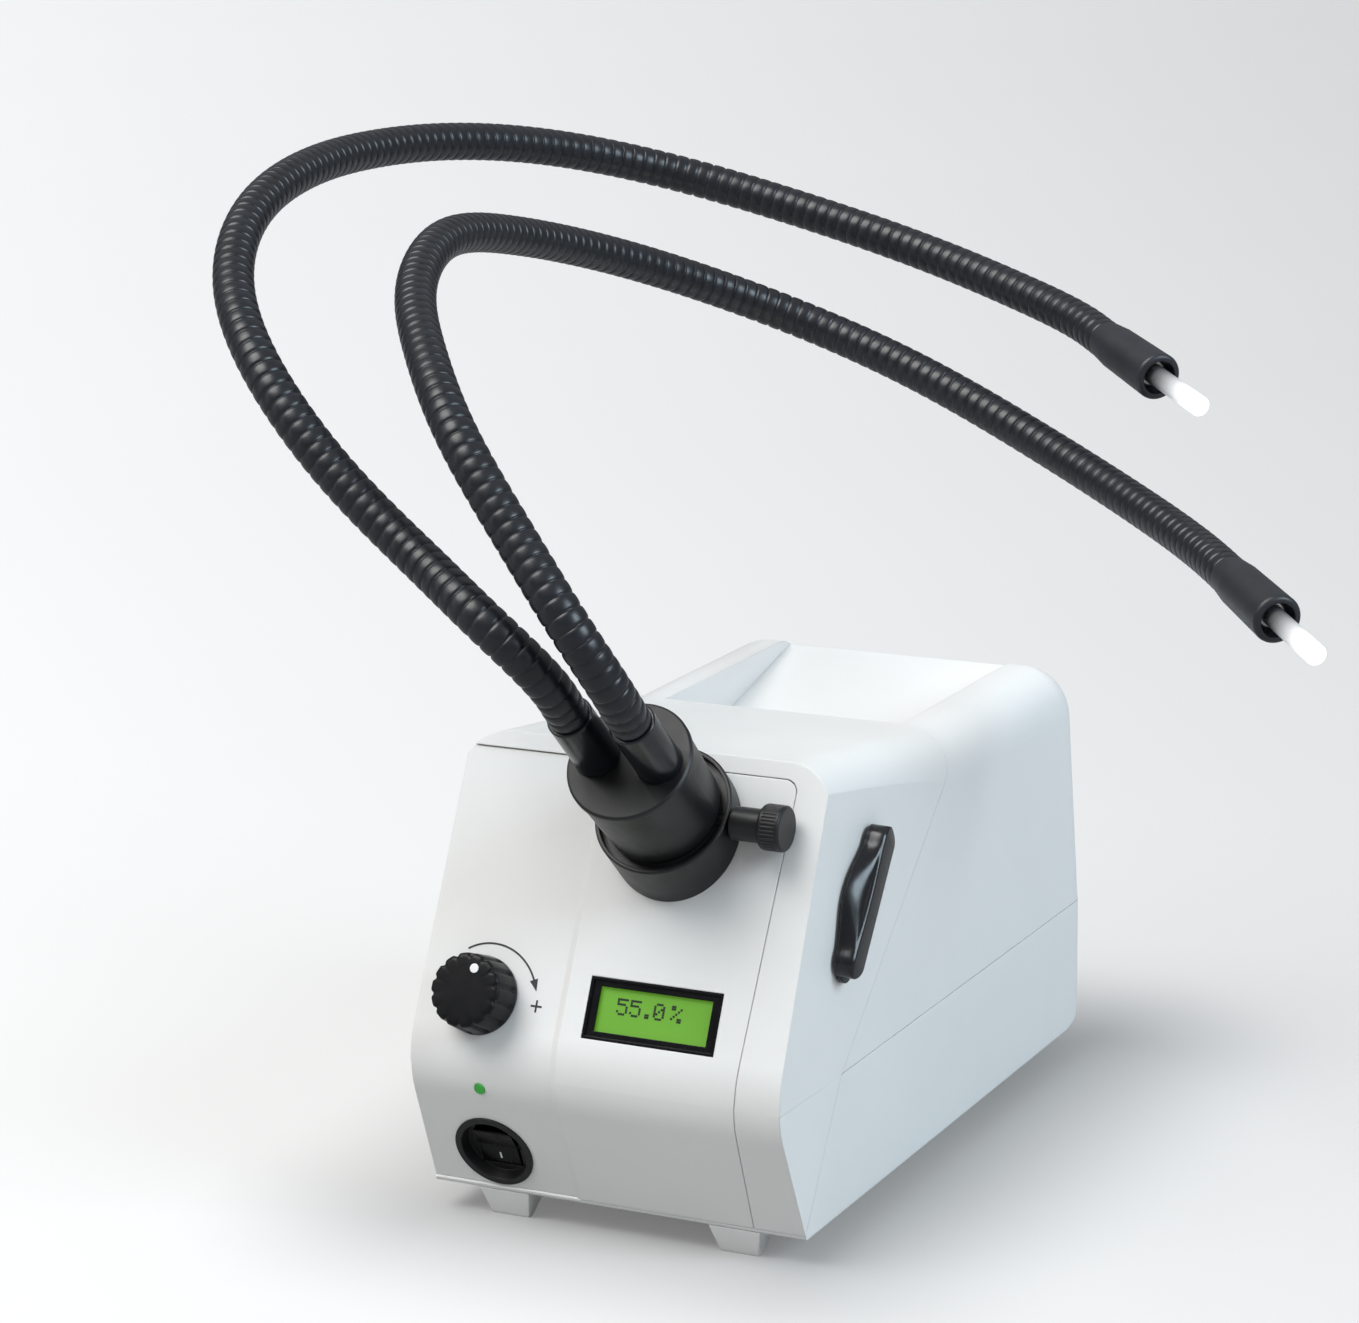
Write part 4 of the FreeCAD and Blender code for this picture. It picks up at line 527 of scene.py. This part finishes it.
# filter grip with its domed finger pad, drawn as sections along its length
grip = {"at": (77.5, -79.99, 126.9), "lean": 36.0, "half": 29.95, "shift": -3.5, "halfWidth": 6.2, "rows": 72,
        "endShare": 0.995, "padDepth": 6.1, "padHalf": 21.0, "padPower": 1.3, "padLift": 1.1, "skirt": 0.8,
        "lip": 0.25, "foot": 1.3, "ridge": 1.3, "crestDrop": 0.75, "facePower": 0.85,
        "faceShares": (0.12, 0.28, 0.46, 0.64, 0.82, 1.0), "top": 7.8, "endDrop": 0.9, "barLow": 4.6,
        "barEdge": 0.3, "barCorner": 0.2, "neckBack": -1.4, "neckGap": 0.3, "base": 0.1, "soft": 1.2,
        "softShare": 0.3,
        "frontRound": [(0.25, 0.30), (0.6, 0.06), (1.0, 0.0)],
        "backRound": [(1.0, 0.02), (0.4, 0.22), (0.08, 0.7), (0.0, 1.3)]}
flange = {"half": 31.0, "width": 6.0, "around": 64,
          "profile": [(0.0, 0.0), (1.5, 0.0), (1.88, 0.15), (2.0, 0.55), (2.01, 4.0)]}


def gripSection(y):  # x across the grip and z out of the housing, once round the section
    end = max(0.0, abs(y) - (grip["half"] - grip["halfWidth"])) / grip["halfWidth"]
    wide = math.sqrt(max(0.0, 1 - (end * grip["endShare"]) ** 2)) * grip["halfWidth"]
    bump = max(0.0, math.cos(math.pi / 2 * min(1.0, abs(y) / grip["padHalf"]))) ** grip["padPower"]
    low, high = grip["shift"] - wide, grip["shift"] + wide
    front = low - grip["padDepth"] * bump
    top = grip["top"] - grip["endDrop"] * end ** 2
    ridge = low + min(grip["ridge"], wide * grip["softShare"]) + grip["padLift"] * bump
    lip, foot, crest = front + grip["lip"], grip["foot"], top - grip["crestDrop"]
    section = [(front, grip["base"]), (front, grip["skirt"]), (lip, foot)]
    for share in grip["faceShares"]:
        rise = math.sin(share * math.pi / 2) ** grip["facePower"]
        section.append((lip + (ridge - lip) * share, foot + (crest - foot) * rise))
    soft = min(grip["soft"], wide * grip["softShare"])
    section += [(ridge + soft * share, top - drop) for share, drop in grip["frontRound"]]
    section += [(high - soft * share, top - drop) for share, drop in grip["backRound"]]
    section += [(high, grip["barLow"] + grip["barEdge"]), (high - grip["barCorner"], grip["barLow"])]
    neck = min(grip["neckBack"], high - grip["neckGap"])
    return section + [(neck, grip["barLow"]), (neck, grip["base"])]


def flangeRings():  # the oblong plate between the grip and the housing
    points = []
    for height, drop in flange["profile"]:
        for angle in angles(flange["around"], 0.5):
            radius = flange["width"] - drop
            straight = math.copysign(flange["half"] - flange["width"], math.sin(angle))
            points.append(Vector((radius * math.cos(angle), straight + radius * math.sin(angle), height)) * mm)
    return points


def gripPiece():
    vertices = []
    for row in range(grip["rows"] + 1):
        y = grip["half"] * math.sin((row / grip["rows"] - 0.5) * math.pi)
        vertices += [Vector((x, y, z)) * mm for x, z in gripSection(y)]
    faces = ringFaces(grip["rows"] + 1, len(gripSection(0.0)), (True, True))
    base = len(vertices)
    vertices += flangeRings()
    rings = ringFaces(len(flange["profile"]), flange["around"], (True, True))
    faces += [tuple(base + v for v in face) for face in rings]
    piece = newPiece("filterGrip", vertices, faces, "grip_satin")
    lean = math.radians(grip["lean"])
    up, out = Vector((0, math.sin(lean), math.cos(lean))), Vector((1, 0, 0))
    piece.matrix_world = facing(Vector(grip["at"]) * mm, up, out)
    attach(piece, "filter")
    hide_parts("filter_grip")


gripPiece()
print("grip made")

# printed arc with its arrow, and the plus sign
arc = {"x": -50.0, "slope": 27.0, "radius": 19.6, "endRadius": 22.2, "from": 118.0, "to": 24.0, "width": 0.75,
       "steps": 48, "lift": 0.04, "headLength": 4.6, "headWidth": 3.4}
plus = {"x": -26.8, "slope": 26.4, "size": 4.6, "width": 0.75}
inkThick = 0.05


def flatPrint(name, outlines, place, thick=inkThick, materialName="ink_black"):  # thin plates
    vertices, faces = [], []
    for outline in outlines:
        count, base = len(outline), len(vertices)
        for height in (0, thick):
            vertices += [Vector((x, y, height)) * mm for x, y in outline]
        faces.append(tuple(range(base + count, base + 2 * count)))
        faces.append(tuple(reversed(range(base, base + count))))
        for k in range(count):
            ahead = (k + 1) % count
            faces.append((base + k, base + ahead, base + count + ahead, base + count + k))
    piece = newPiece(name, vertices, faces, materialName, smooth=False)
    piece.matrix_world = place
    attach(piece, "housing")
    return piece


def box(x, y, halfWide, halfHigh):  # corners of a flat rectangle round its middle
    return [(x - halfWide, y - halfHigh), (x + halfWide, y - halfHigh),
            (x + halfWide, y + halfHigh), (x - halfWide, y + halfHigh)]


def arcOutlines():
    strips = []
    centre = Vector((arc["x"], arc["slope"]))
    line = []
    for k in range(arc["steps"] + 1):
        share = k / arc["steps"]
        angle = math.radians(arc["from"] + (arc["to"] - arc["from"]) * share)
        radius = arc["radius"] + (arc["endRadius"] - arc["radius"]) * share
        line.append((centre + Vector((math.cos(angle), math.sin(angle))) * radius, angle))
    half = arc["width"] / 2
    for (a, first), (b, second) in zip(line, line[1:]):
        inA = Vector((math.cos(first), math.sin(first))) * half
        inB = Vector((math.cos(second), math.sin(second))) * half
        strips.append([tuple(a - inA), tuple(b - inB), tuple(b + inB), tuple(a + inA)])
    tip, angle = line[-1]
    ahead = Vector((math.sin(angle), -math.cos(angle)))
    across = Vector((ahead.y, -ahead.x)) * (arc["headWidth"] / 2)
    strips.append([tuple(tip - across), tuple(tip + ahead * arc["headLength"]), tuple(tip + across)])
    return strips


def plusOutlines():
    x, y, half, thin = plus["x"], plus["slope"], plus["size"] / 2, plus["width"] / 2
    middle, reach = (half + thin) / 2, (half - thin) / 2
    return [box(x, y, half, thin), box(x, y + middle, thin, reach), box(x, y - middle, thin, reach)]


upperFace = facing(onUpper(0, 0, arc["lift"] - house["leftRecess"]), upperUp, upperOut)
flatPrint("turnArrow", arcOutlines(), upperFace)
flatPrint("plusSign", plusOutlines(), upperFace)
print("panel marks printed")

# display: a backlit sheet under the window, and digits in a dot matrix on it
display = {"text": "55.0%", "x": 20.9, "slope": 28.9, "width": 45.8, "height": 17.9, "depth": 2.36,
           "textX": 7.1, "textDown": 3.9, "dot": 0.84, "dotStep": 0.90, "cell": 5.35,
           "nudges": (0.0, 0.0, 0.1, -1.0, 0.7), "margin": 1.2, "sheet": 0.12, "ink": 0.08, "glow": 0.56,
           "colors": ((0.108, 0.310, 0.016), (0.120, 0.335, 0.020)), "cloud": 30,
           "rough": (0.45, 0.55), "roughCloud": 200}
glyphs = {
    "5": ("11111", "10000", "11110", "00001", "00001", "10001", "01110"),
    ".": ("00000", "00000", "00000", "00000", "00000", "01100", "01100"),
    "0": ("01110", "10001", "10011", "10101", "11001", "10001", "01110"),
    "%": ("11000", "11001", "00010", "00100", "01000", "10011", "00011"),
}


def digitOutlines():
    dots = []
    half = display["dot"] / 2
    top = display["height"] / 2 - display["textDown"] - half
    for place, letter in enumerate(display["text"]):
        start = display["textX"] + place * display["cell"] + display["nudges"][place]
        left = start + half - display["width"] / 2
        for row, pattern in enumerate(glyphs[letter]):
            for column, mark in enumerate(pattern):
                if mark == "1":
                    x, y = left + column * display["dotStep"], top - row * display["dotStep"]
                    dots.append(box(x, y, half, half))
    return dots


def displayFinish():
    shader, nodes, links = startMaterial("display_light")
    vector = placeCoords(nodes, links)
    cloud = span(nodes, links, noise(nodes, links, vector, display["cloud"]), 0, 1)
    color = blendColors(nodes, links, cloud, *display["colors"])
    links.new(color, shader.inputs["Base Color"])
    links.new(color, shader.inputs["Emission Color"])
    haze = noise(nodes, links, vector, display["roughCloud"])
    links.new(span(nodes, links, haze, *display["rough"]), shader.inputs["Roughness"])
    shader.inputs["Emission Strength"].default_value = display["glow"]


def displayPiece(name, outlines, sink, thick, materialName):
    place = facing(onUpper(display["x"], display["slope"], -sink), upperUp, upperOut)
    flatPrint(name, outlines, place, thick, materialName)


displayFinish()
sheet = box(0, 0, display["width"] / 2 + display["margin"], display["height"] / 2 + display["margin"])
displayPiece("displayLight", [sheet], display["depth"], display["sheet"], "display_light")
displayPiece("displayDigits", digitOutlines(), display["depth"] - display["sheet"], display["ink"], "lcd_ink")
print("display made")

# rocker mark
rocker = {"x": -48.3, "drop": 41.0, "depth": 5.6, "tilt": 9.0, "markY": -4.7, "markZ": 2.26, "markLean": -7.0,
          "markWidth": 0.7, "markHeight": 3.0}
turnX = Matrix.Rotation(math.radians(rocker["tilt"]), 4, "X")
rockerPlace = facing(onLower(rocker["x"], rocker["drop"], -rocker["depth"]), lowerUp, lowerOut) @ turnX
markPlace = (rockerPlace @ Matrix.Translation(Vector((0, rocker["markY"], rocker["markZ"])) * mm)
             @ Matrix.Rotation(math.radians(rocker["markLean"]), 4, "X"))
markOutline = box(0, 0, rocker["markWidth"] / 2, rocker["markHeight"] / 2)
mark = flatPrint("rockerMark", [markOutline], markPlace, inkThick, "ink_white")
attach(mark, "rocker")

# floor, in metres: pale, keeps the shadow; its own light is painted, fading to the far right and with depth,
# and a painted shadow darkens it under the housing
ground = {"half": 14.0, "grey": 0.33, "greyStep": 1.02, "cloud": 1.2, "rough": 0.7, "gloss": 0.2, "lit": 0.42,
          "glowColor": (1.0, 1.0, 0.995), "most": 0.60, "least": 0.15, "farWay": (-0.431, 0.872, 0.0),
          "rightWay": (0.898, 0.441, 0.0), "depth": 1.67, "nearest": 0.6, "rightFrom": -0.034,
          "farLevel": 0.742, "nearGain": 0.144, "fade": 0.448, "nearFade": 0.174,
          "centre": (0.0, 0.015, 0.0), "halfShade": (0.070, 0.140, 0.0), "shade": 0.30,
          "shadeFrom": -0.02, "shadeTo": 0.115}


def paintedUnderShadow(nodes, links, place):  # painted shadow under the housing: share of the ground's own light, by distance from the housing's middle
    offset = vectorNode(nodes, links, "SUBTRACT", place, ground["centre"])
    offset = vectorNode(nodes, links, "ABSOLUTE", offset)
    offset = vectorNode(nodes, links, "SUBTRACT", offset, ground["halfShade"])
    offset = vectorNode(nodes, links, "MAXIMUM", offset, (0, 0, 0))
    ranger = nodes.new("ShaderNodeMapRange")
    ranger.interpolation_type = "SMOOTHSTEP"
    ranger.inputs["From Min"].default_value = ground["shadeFrom"]
    ranger.inputs["From Max"].default_value = ground["shadeTo"]
    ranger.inputs["To Min"].default_value = ground["shade"]
    ranger.inputs["To Max"].default_value = 1.0
    links.new(vectorNode(nodes, links, "LENGTH", offset), ranger.inputs["Value"])
    return ranger.outputs["Result"]


def paintedFloorLight(nodes, links, place):  # painted floor light, fading to the far right and with depth: nearness is 1 at the housing and falls with depth behind it
    def work(operation, first, second):
        return mathNode(nodes, links, operation, first, second)

    far = work("ADD", vectorNode(nodes, links, "DOT_PRODUCT", place, ground["farWay"]), ground["depth"])
    near = work("DIVIDE", ground["depth"], work("MAXIMUM", far, ground["nearest"]))
    right = vectorNode(nodes, links, "DOT_PRODUCT", place, ground["rightWay"])
    right = work("SUBTRACT", right, ground["rightFrom"])
    fade = work("SUBTRACT", ground["fade"], work("MULTIPLY", near, ground["nearFade"]))
    gain = work("SUBTRACT", ground["nearGain"], work("MULTIPLY", right, fade))
    level = work("ADD", work("MULTIPLY", near, gain), ground["farLevel"] - ground["lit"])
    level = work("MAXIMUM", work("MINIMUM", level, ground["most"]), ground["least"])
    # a painted shadow under the housing darkens the floor's own light
    return work("MULTIPLY", level, paintedUnderShadow(nodes, links, place))


def floorFinish():
    shader, nodes, links = startMaterial("floor_pale")
    vector = placeCoords(nodes, links)
    cloud = span(nodes, links, noise(nodes, links, vector, ground["cloud"]), 0, 1)
    first, second = (ground["grey"],) * 3, (ground["grey"] * ground["greyStep"],) * 3
    links.new(blendColors(nodes, links, cloud, first, second), shader.inputs["Base Color"])
    shader.inputs["Roughness"].default_value = ground["rough"]
    shader.inputs["Specular IOR Level"].default_value = ground["gloss"]
    rays = nodes.new("ShaderNodeLightPath")
    seen = mathNode(nodes, links, "MAXIMUM", rays.outputs["Is Camera Ray"], rays.outputs["Is Transmission Ray"])
    # the floor's camera-seen light is painted: it fades to the far right and with depth, and darkens under the
    # housing
    glow = mathNode(nodes, links, "MULTIPLY", seen, paintedFloorLight(nodes, links, vector))
    links.new(glow, shader.inputs["Emission Strength"])
    shader.inputs["Emission Color"].default_value = (*ground["glowColor"], 1)


floorFinish()
corners = [(x, y, 0) for x, y in box(0, 0, ground["half"], ground["half"])]
newPiece("floor", corners, [(0, 1, 2, 3)], "floor_pale", smooth=False)

# light, placed in metres
suns = {
    "key": {"from": (-0.35, -0.38, 0.86), "power": 2.6, "wide": 40, "color": (1.0, 0.99, 0.975)},
    "side": {"from": (0.85, -0.05, 0.52), "power": 1.75, "wide": 28, "color": (0.72, 0.88, 1.0)},
}
panels = {
    "leftStrip": {
        "at": (-1.1, -1.0, 0.75), "wide": 0.25, "tall": 1.2, "power": 1.2, "color": (1.0, 1.0, 1.0)},
    "rightStrip": {
        "at": (1.25, -0.65, 0.8), "wide": 0.25, "tall": 1.0, "power": 0.8, "color": (0.85, 0.93, 1.0)},
}
panelAim = Vector((0, 0, 0.2))
sky = {"low": 0.20, "top": 0.45, "topAt": 0.8, "color": (0.96, 0.98, 1.0)}


def addLamp(name, kind, look):
    data = bpy.data.lights.new(name, kind)
    data.energy = look["power"]
    data.color = look["color"]
    holder = bpy.data.objects.new(name, data)
    bpy.context.scene.collection.objects.link(holder)
    return data, holder


for name, look in suns.items():
    data, holder = addLamp(name + "Sun", "SUN", look)
    data.angle = math.radians(look["wide"])
    holder.rotation_euler = Vector(look["from"]).to_track_quat("Z", "Y").to_euler()
for name, look in panels.items():
    data, holder = addLamp(name, "AREA", look)
    data.shape = "RECTANGLE"
    data.size = look["wide"]
    data.size_y = look["tall"]
    holder.location = look["at"]
    holder.rotation_euler = (panelAim - holder.location).to_track_quat("-Z", "Y").to_euler()

world = bpy.data.worlds.new("studio")
bpy.context.scene.world = world
world.use_nodes = True
worldNodes, worldLinks = world.node_tree.nodes, world.node_tree.links
background = worldNodes["Background"]
skyCoords = worldNodes.new("ShaderNodeTexCoord")
skySplit = worldNodes.new("ShaderNodeSeparateXYZ")
worldLinks.new(skyCoords.outputs["Generated"], skySplit.inputs[0])
skyLevel = span(worldNodes, worldLinks, skySplit.outputs["Z"], sky["low"], sky["top"], 0.0, sky["topAt"])
worldLinks.new(skyLevel, background.inputs["Strength"])
background.inputs["Color"].default_value = (*sky["color"], 1)

# camera
camera = {"at": (672.6, -1429.9, 572.5), "lens": 110.15, "sensor": 36.0, "clipEnd": 100.0,
          "right": (0.89759, 0.44066, -0.01236), "up": (-0.09180, 0.21428, 0.97245),
          "back": (0.43117, -0.87172, 0.23279)}
cameraData = bpy.data.cameras.new("camera")
cameraData.lens = camera["lens"]
cameraData.sensor_width = camera["sensor"]
cameraData.sensor_fit = "HORIZONTAL"
cameraData.clip_end = camera["clipEnd"]
cameraObject = bpy.data.objects.new("camera", cameraData)
turn = Matrix((Vector(camera["right"]).normalized(), Vector(camera["up"]).normalized(),
               Vector(camera["back"]).normalized())).transposed().to_4x4()
turn.translation = Vector(camera["at"]) * mm
cameraObject.matrix_world = turn
bpy.context.scene.collection.objects.link(cameraObject)
bpy.context.scene.camera = cameraObject
bpy.context.scene.view_settings.view_transform = "Standard"
print("stage and camera ready")

bpy.context.view_layer.update()
